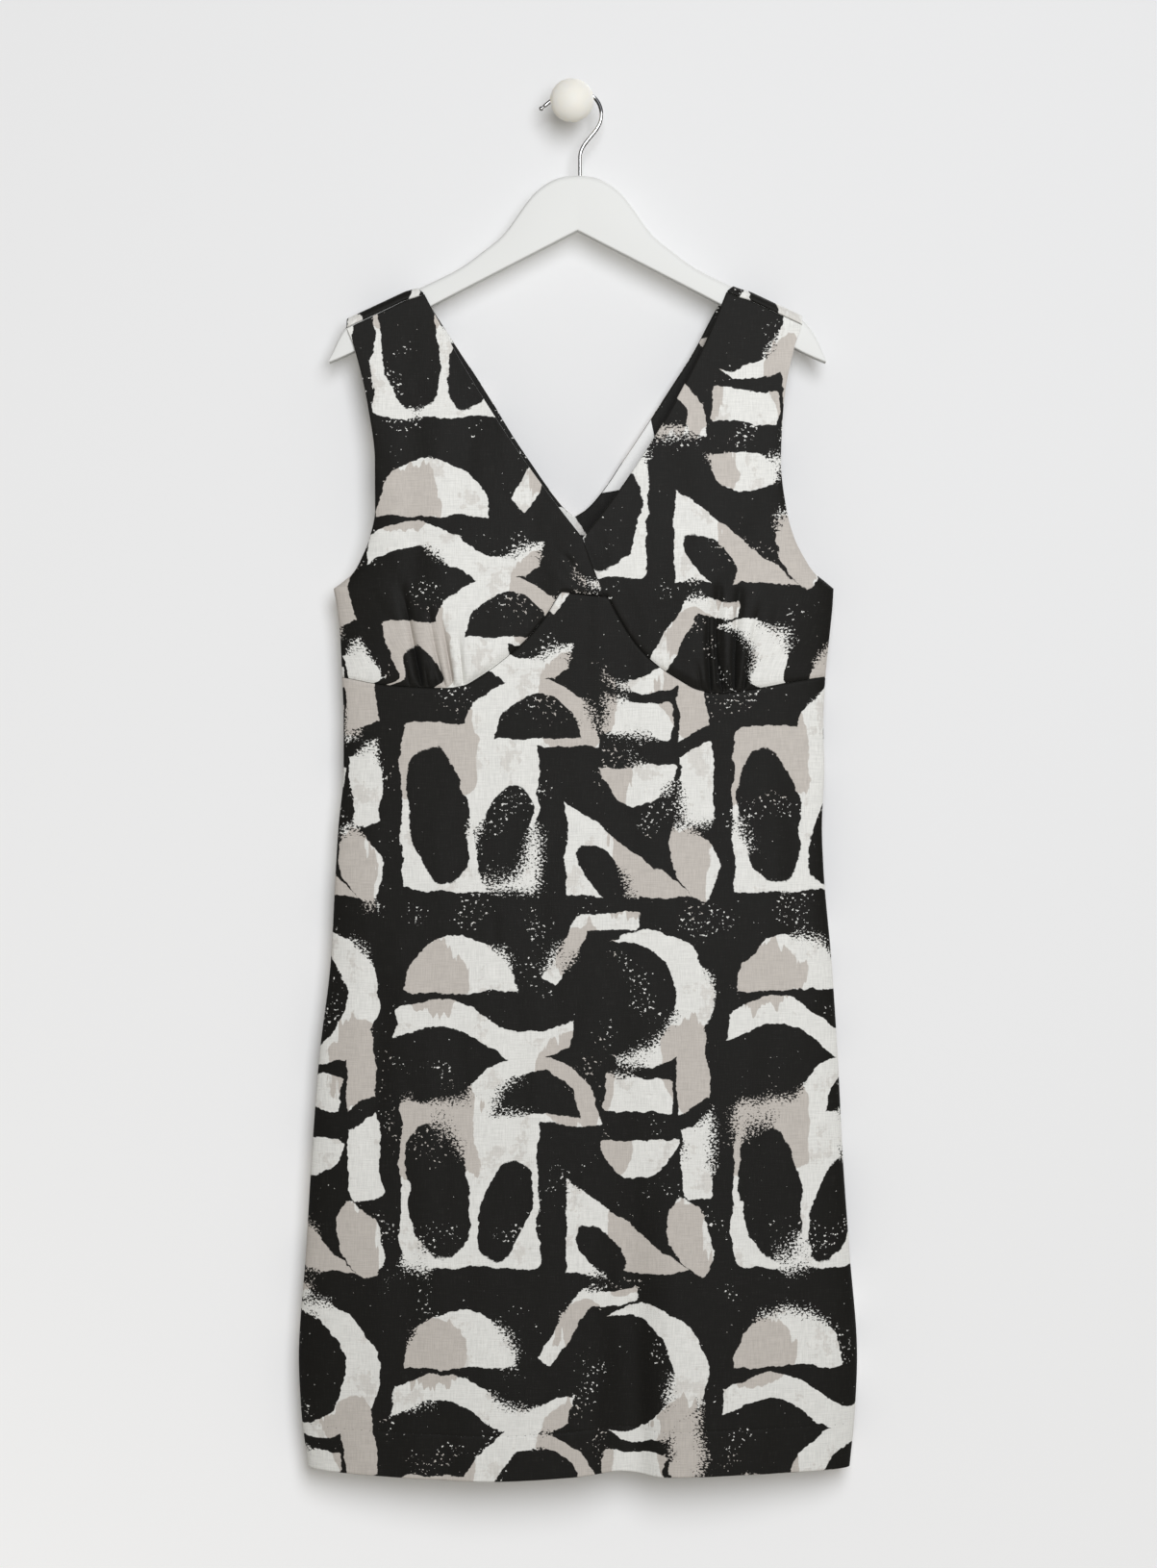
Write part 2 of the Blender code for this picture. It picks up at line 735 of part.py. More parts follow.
def back_neck_facing():
    """A band of the dress cloth inside the back neck, made from the back's own points."""
    share = np.linspace(0, 1, FACING_STEPS[0] + 1)[None, :]
    depth = np.linspace(GAP, FACING_DEPTH, FACING_STEPS[1] + 1)[:, None]
    share, depth = np.broadcast_arrays(share, depth)
    place = beside_neck(share, depth)
    x, drop = place[..., 0], place[..., 1]
    forward = back_forward(x, drop) + WALL + GAP + THIN
    return panel("back_neck_facing", [point(x, drop, forward)], (0, -1, 0), THIN)


def neck_label():
    """A plain woven label with mitred ends, along the back neck's right edge."""
    edge_line = back_neck_edge()
    run = np.linalg.norm(np.diff(edge_line, axis=0), axis=1).sum()
    first = np.argmin(np.linalg.norm(edge_line - np.array(LABEL_FROM), axis=1))
    start = np.linalg.norm(np.diff(edge_line[: first + 1], axis=0), axis=1).sum()
    depth = np.linspace(0, LABEL_DEEP, 3)[:, None]
    spread = np.linspace(0, 1, 9)[None, :]
    length = start + depth + (LABEL_LONG - 2 * depth) * spread
    place = beside_neck(length / run, np.broadcast_to(depth + 2 * GAP, length.shape))
    x, drop = place[..., 0], place[..., 1]
    forward = back_forward(x, drop) + WALL + 2 * GAP + 2 * THIN
    return panel("neck_label", [point(x, drop, forward)], (0, -1, 0), THIN, "label_cloth")


# ---------------------------------------------------------------- what holds it


def rounded_ring(top, bottom, steps=2):
    """A rounded rectangle across the hanger, as forward and drop offsets."""
    most = ROUND_MOST * (bottom - top)
    above, below = min(HANGER_ROUND, most), min(HANGER_KEEN, most)
    ring = []
    for turn, radius, forward, drop in (
        (0, below, HANGER_HALF - below, bottom - below),
        (90, below, below - HANGER_HALF, bottom - below),
        (180, above, above - HANGER_HALF, top + above),
        (270, above, HANGER_HALF - above, top + above),
    ):
        for step in range(steps + 1):
            angle = math.radians(turn + 90 * step / steps)
            ring.append((forward + radius * math.cos(angle), drop + radius * math.sin(angle)))
    return np.array(ring)


def hanger_body():
    top = column(HANGER_OUTLINE, "top", "x")
    # The underside meets in a corner at the middle, so its curve starts there.
    bottom = smooth(HANGER_OUTLINE["x"][1:], HANGER_OUTLINE["bottom"][1:])
    tip = HANGER_OUTLINE["x"][-1]
    rings = []
    for turn in np.linspace(-math.pi / 2, math.pi / 2, HANGER_STEPS + 1):
        x = tip * math.copysign(abs(math.sin(turn)) ** HANGER_BUNCH, turn)
        ring = rounded_ring(top(abs(x)), bottom(abs(x)))
        rings.append(point(x, ring[:, 1], HANGER_FORWARD + ring[:, 0]))
    closed = [np.concatenate([ring, ring[:1]]) for ring in rings]
    mesh = mesh_of("hanger_body", [closed], Vector((0, 0, 0)), (rings[0], rings[-1]))
    body = add("hanger_body", mesh, "painted_wood", DRESS)
    mesh.set_sharp_from_angle(angle=math.radians(50))

    drill = bmesh.new()
    bmesh.ops.create_cone(
        drill,
        cap_ends=True,
        segments=12,
        radius1=(WIRE + HOLE_CLEAR) * MM,
        radius2=(WIRE + HOLE_CLEAR) * MM,
        depth=(2 * SHANK_DEEP + 2 * GAP) * MM,
    )
    drill_mesh = bpy.data.meshes.new("shank_drill")
    drill.to_mesh(drill_mesh)
    drill.free()
    cutter = add("shank_drill", drill_mesh, "painted_wood", CUTTERS)
    cutter.location = point(SHANK_X, 0.0, HANGER_FORWARD)
    cutter.hide_render = True
    cutter.display_type = "WIRE"
    hole = body.modifiers.new("shank hole", "BOOLEAN")
    hole.object = cutter
    hole.operation = "DIFFERENCE"
    return body


def hook_route():
    """The wire from the bottom of its hole, up an S-bend, over the top and out to its tip."""
    tight, slack = HOOK_RADII
    first, last = (math.radians(a) for a in HOOK_ARC)
    arc = []
    for angle in np.linspace(first, last, 30):
        radius = tight if angle < math.pi / 2 else slack
        middle = HOOK_CENTRE[1] + radius - tight
        arc.append((HOOK_CENTRE[0] + radius * math.cos(angle), middle - radius * math.sin(angle)))
    foot = np.array([SHANK_X, -BEND_FOOT])
    rise = np.array([0.0, -BEND_HANDLES[0]])
    join = np.array(arc[0])
    lean = BEND_HANDLES[1] * np.array([math.sin(first), math.cos(first)])
    route = [(SHANK_X, SHANK_DEEP), (SHANK_X, 0.0), (SHANK_X, -SHANK_RISE)]
    for t in np.linspace(0, 1, 12)[:-1]:
        a, b, c, d = (1 - t) ** 3, 3 * t * (1 - t) ** 2, 3 * t * t * (1 - t), t**3
        route.append(tuple(a * foot + b * (foot + rise) + c * (join + lean) + d * join))
    route += arc
    for t in np.linspace(0, 1, 6)[1:]:
        route.append(tuple((1 - t) * np.array(arc[-1]) + t * np.array(HOOK_TIP)))
    return np.array(route)


def hanger_hook():
    route = hook_route()
    curve = bpy.data.curves.new("hanger_hook", "CURVE")
    curve.dimensions = "3D"
    curve.bevel_depth = WIRE * MM
    curve.bevel_resolution = 2
    curve.use_fill_caps = True
    spline = curve.splines.new("POLY")
    spline.points.add(len(route) - 1)
    for place, target in zip(point(route[:, 0], route[:, 1], HANGER_FORWARD), spline.points):
        target.co = (*place, 1)
    for target in list(spline.points)[-3:-1]:
        target.radius = TIP_SWELL
    return add("hanger_hook", curve, "chrome", DRESS)


def wall_knob():
    """Turned about Z with the wall at the top, then laid down to face -Y."""
    profile = bmesh.new()
    rows = list(zip(KNOB["forward"], KNOB["radius"]))
    rows = [(0.0, 0.0)] + rows
    verts = [profile.verts.new((radius * MM, 0, -forward * MM)) for forward, radius in rows]
    for a, b in zip(verts, verts[1:]):
        profile.edges.new((a, b))
    mesh = bpy.data.meshes.new("wall_knob")
    profile.to_mesh(mesh)
    profile.free()
    knob = add("wall_knob", mesh, "knob_paint", DRESS)
    screw = knob.modifiers.new("turn", "SCREW")
    screw.steps = screw.render_steps = KNOB_STEPS
    screw.use_merge_vertices = True
    screw.merge_threshold = 0.01 * MM
    knob.rotation_euler = (math.radians(-90), 0, 0)
    return knob


clear_scene()
MATERIALS = {name: material(name) for name in COLOURS}
DRESS = collection("shift_dress_on_hanger")
CUTTERS = collection("cutters", hidden=True)

bodice("bodice_front_right", "left", lapped_forward)
bodice("bodice_front_left", "right", bodice_forward)
skirt_front()
back()
back_neck_facing()
neck_label()
hanger_body()
hanger_hook()
wall_knob()
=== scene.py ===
"""Looks of the shift dress on its hanger and wall knob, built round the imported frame.

Metres, +Z up. The wall is the plane y = 0, the dress faces -Y, and the origin is the centre of
the knob's flat back. The garment's own numbers are in millimetres: x across from the hanger's
centre line (left and right as seen from the front), drop below the top of the hanger, and
forward from the wall.
"""

import math
from functools import partialmethod, reduce

import bmesh
import bpy
import numpy as np
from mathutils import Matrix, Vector


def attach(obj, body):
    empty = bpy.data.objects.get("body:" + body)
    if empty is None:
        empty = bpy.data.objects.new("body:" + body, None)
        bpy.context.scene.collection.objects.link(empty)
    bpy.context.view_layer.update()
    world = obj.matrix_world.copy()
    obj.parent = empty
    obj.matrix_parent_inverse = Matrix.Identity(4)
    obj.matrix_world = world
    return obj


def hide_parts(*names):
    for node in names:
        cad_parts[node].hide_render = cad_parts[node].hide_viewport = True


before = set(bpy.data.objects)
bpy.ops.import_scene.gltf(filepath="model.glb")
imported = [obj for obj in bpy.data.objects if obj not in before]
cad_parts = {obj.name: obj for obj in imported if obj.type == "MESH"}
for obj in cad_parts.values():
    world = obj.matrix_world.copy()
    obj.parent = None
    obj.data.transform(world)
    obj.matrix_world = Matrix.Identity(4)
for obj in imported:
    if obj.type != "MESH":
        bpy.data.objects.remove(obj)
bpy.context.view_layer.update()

MM = 0.001

# ---------------------------------------------------------------- the garment's sizes, in mm

# The hanger's centre line, the height of its top, and how far from the wall its middle is.
HANGER_X = 5.0
HANGER_TOP = -64.4
HANGER_FORWARD = 26.0

CLOTH = 0.8  # thickness of the dress, and of its facing and label
FACING_CLOTH = 0.6
LABEL_CLOTH = 0.45
GAP = 0.3  # between pieces at a seam
STRIP = 1.8  # the cloth's turn to the side seam, beside each outline
FULLNESS = 2.6  # power that shapes the dress across: higher is flatter, with tighter sides
EDGE_ROLL = 1.5  # radius that a finished edge turns under with

# The ridge over the hanger's arms: through this place, rising this much inward, and lifted by
# the cloth. It sags at its neck end, between these distances from the middle. The back wraps
# over it from the rear, starting this far below it, to the shoulder seam a little lower in front.
ARM_X = 139.0
ARM_DROP = 100.2
ARM_SLOPE = 0.47
COVER = 3.8
NECK_SAG = 2.2
NECK_SAG_RUN = (157.0, 140.0)
WRAP_HEIGHT = 8.0
WRAP_TAIL = 1.3
SHOULDER_BACK = 15.5  # how far forward the wrap's rear and front are
SHOULDER_FRONT = 34.3
SHOULDERS = {"left": (-207.0, -136.6), "right": (200.6, 132.8)}  # x at the armhole and the neck
NECK_LEAN = 5.2  # how much further out the neck end lies on top of the arm than at the seam
SHOULDER_FADE = 60.0  # folds of the bodice die out this near the shoulder seam

UNDERARM = 369.5
BACK_V = (-3.0, 304.0)  # x and drop of the bottom of the V
FRONT_V = (4.5, 326.0)
# x of each bodice's lapped edge, at the cup seam and halfway up to the V.
LAPS = {"left": (23.4, 13.8), "right": (-10.6, -3.9)}
LAP_RISE = 1.9  # how far the upper bodice stands over the lower one at the lap
LAP_FROM = (-42.0, 262.0)  # x and drop where it starts to rise
LAP_SPREAD = (28.0, 50.0)  # and how much further on it is up
HEM_SIDE = 1153.7  # drop of the back's hem, and about that of the front's at the side seams
HEM_DEEP = 40.0  # from the hem up to its stitching
HEM_ROLL = 0.8  # radius that the hem turns under with
HEM_LINE = 1.1  # half width of the faint line over the stitching
HEM_LINE_DEEP = 0.28
HEM_PUCKER = (0.10, 2.9)  # height of the tiny puckers along it, and length of one over 2 pi
HEM_PUCKER_WIDE = 6.0  # how many times wider than the line they spread
TURN_UP_CLOTH = 0.56  # the turned-up cloth, which is pressed thinner
TURN_UP_AWAY = (0.3, 1.46)  # how far inside the panel's face it shows, at the hem and above
TURN_UP_RUN = 1.5  # height that it gets there over


def table(names, rows):
    """A table's columns by name."""
    return dict(zip(names.split(), np.array(rows, float).T))


ARMHOLES = table("drop left right", [
    (90.0, -207.5, 201.2), (129.8, -207.0, 200.6), (154.0, -199.3, 193.3),
    (205.8, -187.0, 183.6), (257.2, -180.4, 181.1), (299.9, -180.3, 186.2),
    (325.4, -185.5, 193.4), (342.4, -192.5, 202.2), (355.3, -200.0, 211.0),
    (362.3, -208.0, 220.0), (369.5, -218.0, 228.8),
])

SIDES = table("drop left right", [
    (369.5, -218.0, 228.8), (384.9, -215.0, 227.9), (402.1, -212.8, 226.2),
    (448.5, -210.3, 221.5), (490.0, -209.0, 219.7), (531.1, -209.0, 220.4),
    (582.7, -213.7, 218.4), (617.1, -215.9, 219.7), (703.1, -220.7, 227.1),
    (789.1, -231.0, 232.7), (875.2, -237.5, 237.0), (961.4, -242.7, 243.1),
    (1056.0, -249.2, 250.0), (1099.1, -247.4, 248.3), (1160.0, -240.0, 242.6),
])

SECTIONS = table("drop front_edge front back_edge back", [
    (90, 32.5, 34.3, 17.3, 15.5), (140, 32.8, 34.9, 17.3, 15.3), (200, 34.5, 40.5, 17.0, 13.5),
    (260, 36.0, 46.5, 17.2, 12.5), (320, 34.0, 51.0, 18.8, 11.8), (350, 30.5, 52.0, 22.0, 11.4),
    (369.5, 26.0, 52.0, 26.0, 11.0), (400, 26.0, 51.5, 26.0, 10.6),
    (448, 26.0, 50.0, 26.0, 10.0), (531, 26.0, 48.5, 26.0, 9.6), (703, 25.0, 52.0, 25.0, 9.0),
    (875, 25.0, 56.0, 25.0, 8.6), (1056, 24.0, 59.5, 24.0, 8.2), (1160, 24.0, 60.5, 24.0, 8.2),
])

CUP_SEAMS = {
    "left": table("x drop", [
        (-210.3, 448.5), (-177.0, 455.0), (-153.0, 457.3), (-116.0, 458.7), (-101.0, 456.5),
        (-89.0, 450.2), (-48.0, 418.0), (-28.5, 395.0), (-14.9, 373.5),
    ]),
    "right": table("x drop", [
        (26.8, 377.5), (34.5, 392.3), (53.2, 421.3), (69.4, 437.5), (90.8, 452.0),
        (106.9, 460.4), (125.0, 463.3), (156.5, 459.5), (192.6, 452.6), (221.5, 448.0),
    ]),
}

BACK_NECK = table("drop left right", [
    (98.0, -141.8, 137.3), (119.5, -129.3, 123.6), (155.0, -106.3, 104.8), (196.6, -79.2, 78.4),
    (228.5, -60.0, 57.6), (254.7, -42.6, 40.2), (282.7, -22.9, 21.1), (297.0, -11.2, 8.0),
    (304.0, -3.0, -3.0),
])
FRONT_NECK_BOW = {"left": 6.6, "right": 9.9}

# Folds: a line from (x0, drop0) to (x1, drop1), its half width, and how far it stands proud
# (or lies in, below zero) at each end.
FOLD_COLUMNS = "x0 drop0 x1 drop1 width rise0 rise1"
SKIRT_FOLDS = table(FOLD_COLUMNS, [
    (38, 730, 47, 1165, 23, 0.0, -14.0), (-72, 860, -75, 1165, 46, 0.0, 2.5),
    (128, 900, 128, 1165, 36, 0.0, 2.5), (192, 560, 197, 690, 11, -2.2, -2.2),
    (-178, 740, -181, 870, 13, -2.2, -2.2), (44, 400, 42, 560, 15, -2.0, -1.0),
])
BODICE_FOLDS = table(FOLD_COLUMNS, [
    (-118, 400, -112, 425, 52, 5.0, 5.0), (132, 400, 130, 425, 50, 5.0, 5.0),
    (-148, 215, -147, 345, 14, -1.8, -2.6), (142, 372, 160, 318, 15, -3.4, -1.6),
    (-92, 225, -112, 300, 17, -1.6, -1.0), (78, 235, 92, 300, 16, -1.2, -1.2),
])
GATHERS = table(FOLD_COLUMNS, [
    (-138.5, 457, -156, 374, 4.2, -5.0, -2.2), (-118.5, 458, -131, 396, 4.0, -4.2, -1.2),
    (-110.5, 458, -121, 400, 4.2, -4.4, -1.0), (-101.5, 456, -105.5, 415, 4.0, -3.4, -0.5),
    (117.5, 462, 116, 388, 3.4, -3.8, -1.2), (126.5, 463, 125, 374, 4.0, -5.0, -2.6),
    (139.5, 462, 144, 376, 4.0, -5.2, -2.2), (147.5, 461, 161, 392, 4.2, -4.2, -1.4),
])
BACK_FOLDS = table(FOLD_COLUMNS, [
    (-60, 640, -66, 1165, 30, 0.0, 3.0), (74, 700, 82, 1165, 34, 0.0, 3.25),
    (150, 420, 158, 820, 20, 1.1, 0.0), (-150, 430, -146, 760, 22, 1.0, 0.0),
    (0, 330, -4, 640, 26, 1.3, 0.6),
])
HOLD = 9.0  # the folds of the bodice grow over this height above the cup seam
QUICK_HOLD = 3.2  # and its finest creases over this

# Tucks held in the cup seam, sharp at it and fading upwards: x and drop at the seam and at the
# upper end, how far the middle lies to the right of the straight line, and how deep they are.
TUCKS = table("x0 drop0 x1 drop1 bow deep", [
    (-149, 457, -157, 426, 0.0, 3.0), (-138.5, 457, -156, 366, 0.0, 8.6),
    (-132.6, 457, -135.5, 438, 0.0, 4.4), (-126, 458, -128, 440, 0.0, 2.6),
    (-117.5, 458, -131, 390, -2.0, 6.4), (-110.5, 458, -121, 394, 0.0, 7.2),
    (-101.8, 456, -105.5, 410, 0.0, 5.0), (110, 461, 105, 434, 0.0, 2.8),
    (118.2, 462, 116, 384, -1.3, 6.8), (129, 463, 127.5, 366, -6.0, 9.4),
    (131.6, 463, 126.6, 440, 0.0, 5.4), (135, 463, 132.3, 438, 0.0, 5.4),
    (139.3, 462, 145, 366, -2.0, 9.6), (147.3, 461, 161, 388, -0.5, 7.6),
    (155, 460, 165, 430, 0.0, 3.0),
])
TUCK_WIDTHS = (1.0, 2.3)  # at the seam and at the upper end
TUCK_ROUND = 0.35  # radius at the bottom of a tuck

# Finer creases than the solids have, in the same columns.
SKIRT_CREASES = table(FOLD_COLUMNS, [
    (9, 380, 8, 520, 6, -0.7, -0.2), (84, 470, 80, 640, 7, -0.6, -0.9),
    (60, 450, 56, 610, 5, 0.5, 0.3), (193, 590, 198, 655, 3.4, -1.0, -0.8),
    (-74, 666, -70, 715, 4.0, -0.7, -0.2), (182, 884, 214, 890, 2.2, 0.0, -0.5),
    (176, 896, 205, 905, 2.0, 0.4, 0.1), (-64, 1066, -20, 1062, 1.6, -0.35, -0.1),
    (-203, 975, -225, 986, 3.0, -0.4, -0.9), (205, 602, 217, 606, 3.0, -0.2, -0.9),
    (52, 930, 58, 1160, 7, 0.0, -1.6), (20, 960, 12, 1160, 9, 0.0, 1.2),
    (-128, 700, -134, 960, 12, 0.2, 0.9), (-30, 560, -38, 900, 13, 0.3, 0.9),
    (96, 700, 104, 1100, 13, 0.6, 0.9), (170, 760, 176, 1140, 11, -0.6, -1.0),
    (-205, 600, -214, 980, 8, -0.5, -0.8),
])
BODICE_CREASES = table(FOLD_COLUMNS, [
    (-16, 338, -8, 346, 1.8, -0.2, -1.0), (-8, 346, 2, 366, 2.2, -1.0, -0.3),
    (-24, 352, -6, 372, 2.6, 0.2, 0.5), (10, 338, 20, 372, 3.0, -0.7, -0.3),
    (28, 330, 36, 368, 3.5, 0.4, 0.1), (-150, 290, -138, 360, 6, -0.6, -0.2),
    (-172, 340, -150, 400, 5, -0.3, -0.8), (-186, 372, -160, 408, 4, -0.4, -0.6),
    (-96, 400, -104, 452, 4, 0.3, 0.9), (-132, 400, -119, 455, 3.2, 0.4, 1.0),
    (-148, 405, -133, 455, 3.4, 0.4, 0.9), (117, 410, 117, 460, 3.0, 0.4, 0.9),
    (129, 400, 128, 462, 2.6, 0.4, 0.9), (141, 410, 137.5, 462, 2.4, 0.4, 0.9),
    (156, 400, 147, 461, 3.0, 0.4, 0.9), (170, 395, 158, 459, 4.0, 0.3, 1.0),
    (188, 352, 158, 318, 5, -0.2, -0.8), (205, 372, 168, 350, 5, -0.5, -0.3),
    (-190, 232, -172, 262, 4, -0.3, -0.7), (-150, 190, -140, 240, 7, 0.5, -0.4),
    (158, 175, 150, 240, 7, -0.5, 0.4),
])
BACK_CREASES = table(FOLD_COLUMNS, [
    (-24, 330, -52, 420, 7, 0.8, 0.2), (22, 330, 50, 430, 8, 0.9, 0.2),
    (-182, 372, -140, 410, 5, 0.9, 0.2), (186, 372, 140, 415, 5, 0.9, 0.2),
    (-118, 560, -124, 900, 11, 0.4, 1.1), (112, 520, 120, 980, 12, 0.4, 1.1),
    (30, 640, 24, 1100, 12, 0.3, 1.3), (-20, 760, -14, 1140, 10, -0.4, -1.1),
    (-150, 900, -158, 1150, 9, 0.5, 1.2), (170, 860, 176, 1150, 9, 0.4, 1.1),
    (-90, 1030, -50, 1026, 2.0, 0.4, 0.1), (60, 985, 104, 990, 2.0, 0.1, 0.4),
])

# Hem of the front: it dips a little under the two soft bulges.
HEM = table("x drop", [
    (-241, 1153.7), (-200, 1155.9), (-75, 1159.6), (-10, 1156.5), (32, 1152.8), (75, 1156.8),
    (130, 1155.2), (243, 1153.4),
])

NECK_REACH = 0.04  # share of the neck edge that its direction is taken over, to either side
FACING_TOP = 113.0  # drop of its upper ends
FACING_DEPTH = 42.0
CAD_WALL = 1.5  # the solids' wall, which the facing and the label lie in front of
CAD_THIN = 1.0  # and the solids' facing and label
LABEL_LONG = 79.0
LABEL_DEEP = 18.0
LABEL_FROM = (21.1, 282.7)  # x and drop on the neck edge of its lower end

HANGER_OUTLINE = table("x top bottom", [
    (-16.3, 2.5, 58.3), (0.0, 0.4, 49.9), (9.0, 1.0, 54.5), (16.3, 2.5, 58.3),
    (23.0, 5.2, 61.8), (30.0, 9.4, 65.4), (37.0, 14.9, 69.0), (44.1, 22.9, 72.6),
    (52.7, 35.0, 77.1), (63.4, 49.8, 82.6), (71.0, 57.8, 86.5), (79.1, 64.2, 90.7),
    (104.1, 82.6, 103.6), (139.0, 100.2, 122.2), (170.0, 114.8, 141.2), (200.0, 128.9, 158.2),
    (208.0, 137.5, 162.0), (214.6, 148.8, 164.9), (221.6, 165.4, 167.8),
])
HANGER_HALF = 6.0
HANGER_ROUND = 5.0  # radius along its upper edges
HANGER_KEEN = 1.6  # and along its lower ones
ROUND_MOST = 0.46  # of the height that a thin section is rounded over
HANGER_BUNCH = 1.15  # draws the sections a little closer towards the middle
HANGER_SECTIONS = 181
HANGER_SHARP = 40.0  # degrees from which its edges look sharp

WIRE = 1.7  # radius of the hook's wire
SHANK_X = 2.3
SHANK_DEEP = 15.0  # how far it goes into the hanger
SHANK_RISE = 8.0  # halfway up its straight rise
BEND_FOOT = 16.0  # height where its S-bend starts, with the lengths of the curve's handles
BEND_HANDLES = (13.0, 12.0)
HOOK_CENTRE = (0.1, -54.6)
HOOK_RADII = (21.3, 35.6)  # on the right of its top, and on the left
HOOK_ARC = (-20.0, 132.0)  # degrees, from the right round over the top
HOOK_TIP = (-34.0, -58.6)
TIP_SWELL = 1.18  # radius of the bead at its tip, in radii of the wire
TIP_NECK = 0.72  # of the wire's radius, just before the bead
TIP_NECK_HALF = 1.3
PAINTED_REFLECTION_BEND = (84.0, 9.5)  # how far along the wire its painted dark reflection is darkest, and the painted reflection's half length
PAINTED_REFLECTION_FADE = 4.0

KNOB = table("forward radius", [
    (0.0, 9.4), (2.5, 9.4), (5.5, 9.0), (28.2, 9.0), (29.5, 11.8), (31.5, 15.4), (34.5, 18.3),
    (38.0, 19.4), (42.0, 19.0), (46.0, 17.0), (49.5, 13.2), (51.8, 8.0), (52.7, 0.0),
])
KNOB_FLAT = 0.9  # below 1 its round face is a little flatter than an ellipse
KNOB_SHARP = 60.0

# ---------------------------------------------------------------- curves


def smooth(xs, ys):
    """A cubic through the points that never overshoots them, as a function."""
    step = np.diff(xs)
    slope = np.diff(ys) / step
    tangent = np.concatenate([[slope[0]], np.zeros(len(xs) - 2), [slope[-1]]])
    for i in range(1, len(xs) - 1):
        if slope[i - 1] * slope[i] > 0:
            near, far = 2 * step[i] + step[i - 1], step[i] + 2 * step[i - 1]
            tangent[i] = (near + far) / (near / slope[i - 1] + far / slope[i])

    def at(x):
        x = np.clip(x, xs[0], xs[-1])
        i = np.clip(np.searchsorted(xs, x, side="right") - 1, 0, len(step) - 1)
        t = (x - xs[i]) / step[i]
        blend = t * t * (3 - 2 * t)
        bend = tangent[i] * (1 - t) ** 2 * t - tangent[i + 1] * t * t * (1 - t)
        return ys[i] + (ys[i + 1] - ys[i]) * blend + bend * step[i]

    return at


def ease(t):
    """0 up to 0, 1 from 1, and a soft step between."""
    t = np.clip(t, 0, 1)
    return t * t * (3 - 2 * t)


def along(points, share):
    """The points at these shares of a polyline's length."""
    run = np.concatenate([[0], np.cumsum(np.linalg.norm(np.diff(points, axis=0), axis=1))])
    at = np.asarray(share) * run[-1]
    return np.stack([np.interp(at, run, points[:, k]) for k in range(2)], axis=-1)


def column(rows, name, key="drop"):
    return smooth(rows[key], rows[name])


def joined(*parts):
    """Ranges or rows as one, where each starts with what the last one ends with."""
    return np.concatenate([parts[0], *[part[1:] for part in parts[1:]]])


armhole_edge = {side: column(ARMHOLES, side) for side in ("left", "right")}
side_edge = {side: column(SIDES, side) for side in ("left", "right")}
section = {name: column(SECTIONS, name) for name in SECTIONS if name != "drop"}
cup_seam = {side: column(CUP_SEAMS[side], "drop", "x") for side in CUP_SEAMS}
back_neck = {side: column(BACK_NECK, side) for side in ("left", "right")}
hem_drop = column(HEM, "drop", "x")


def edge(side, drop):
    """x of the garment's outline: the armhole above the underarm, the side seam below."""
    return np.where(drop < UNDERARM, armhole_edge[side](drop), side_edge[side](drop))


def across(x, drop):
    """Where x lies between the outlines, from -1 to 1."""
    left, right = edge("left", drop), edge("right", drop)
    return np.clip((2 * x - left - right) / (right - left), -1, 1)


def x_at(share, drop):
    left, right = edge("left", drop), edge("right", drop)
    return (left + right + share * (right - left)) / 2


def seam_end(side):
    """x where a cup seam meets the side seam."""
    return CUP_SEAMS[side]["x"][0 if side == "left" else -1]


def seam_drop(x):
    """The cup seam: the left cup, the short straight top between the cups, and the right cup."""
    a, b = CUP_SEAMS["left"]["x"][-1], CUP_SEAMS["right"]["x"][0]
    top = np.interp(x, (a, b), (CUP_SEAMS["left"]["drop"][-1], CUP_SEAMS["right"]["drop"][0]))
    return np.where(x < a, cup_seam["left"](x), np.where(x > b, cup_seam["right"](x), top))


def ridge(x):
    """Drop of the cloth's ridge over the hanger's arm, which sags at its neck end."""
    away = np.abs(x)
    sag = NECK_SAG * ease((NECK_SAG_RUN[0] - away) / (NECK_SAG_RUN[0] - NECK_SAG_RUN[1]))
    return ARM_DROP + ARM_SLOPE * (away - ARM_X) - COVER + sag


def shoulder_seam(x):
    return ridge(x) + WRAP_HEIGHT + WRAP_TAIL


def front_neck(side):
    """A front neck edge from the bottom of the V up to the shoulder seam, bowed off its chord."""
    start = np.array(FRONT_V)
    neck_x = SHOULDERS[side][1]
    end = np.array([neck_x, shoulder_seam(neck_x) + GAP])
    chord = end - start
    off = np.array([chord[1], -chord[0]]) / np.linalg.norm(chord)
    off *= FRONT_NECK_BOW[side] * (1 if side == "left" else -1)
    t = np.linspace(0, 1, 80)[:, None]
    return start + chord * t + 4 * off * t * (1 - t)


# ---------------------------------------------------------------- surfaces


def folds(rows, x, drop):
    """How far the folds move the cloth forward at these places."""
    total = np.zeros(np.broadcast(x, drop).shape)
    for x0, d0, x1, d1, width, rise0, rise1 in zip(*rows.values()):
        run = math.hypot(x1 - x0, d1 - d0)
        share = ((x - x0) * (x1 - x0) + (drop - d0) * (d1 - d0)) / run**2
        off = ((x - x0) * (d1 - d0) - (drop - d0) * (x1 - x0)) / run
        past = (share - np.clip(share, 0, 1)) * run
        rise = rise0 + (rise1 - rise0) * ease(share)
        total += rise * np.exp(-((off / width) ** 2) - (past / (2 * width)) ** 2)
    return total


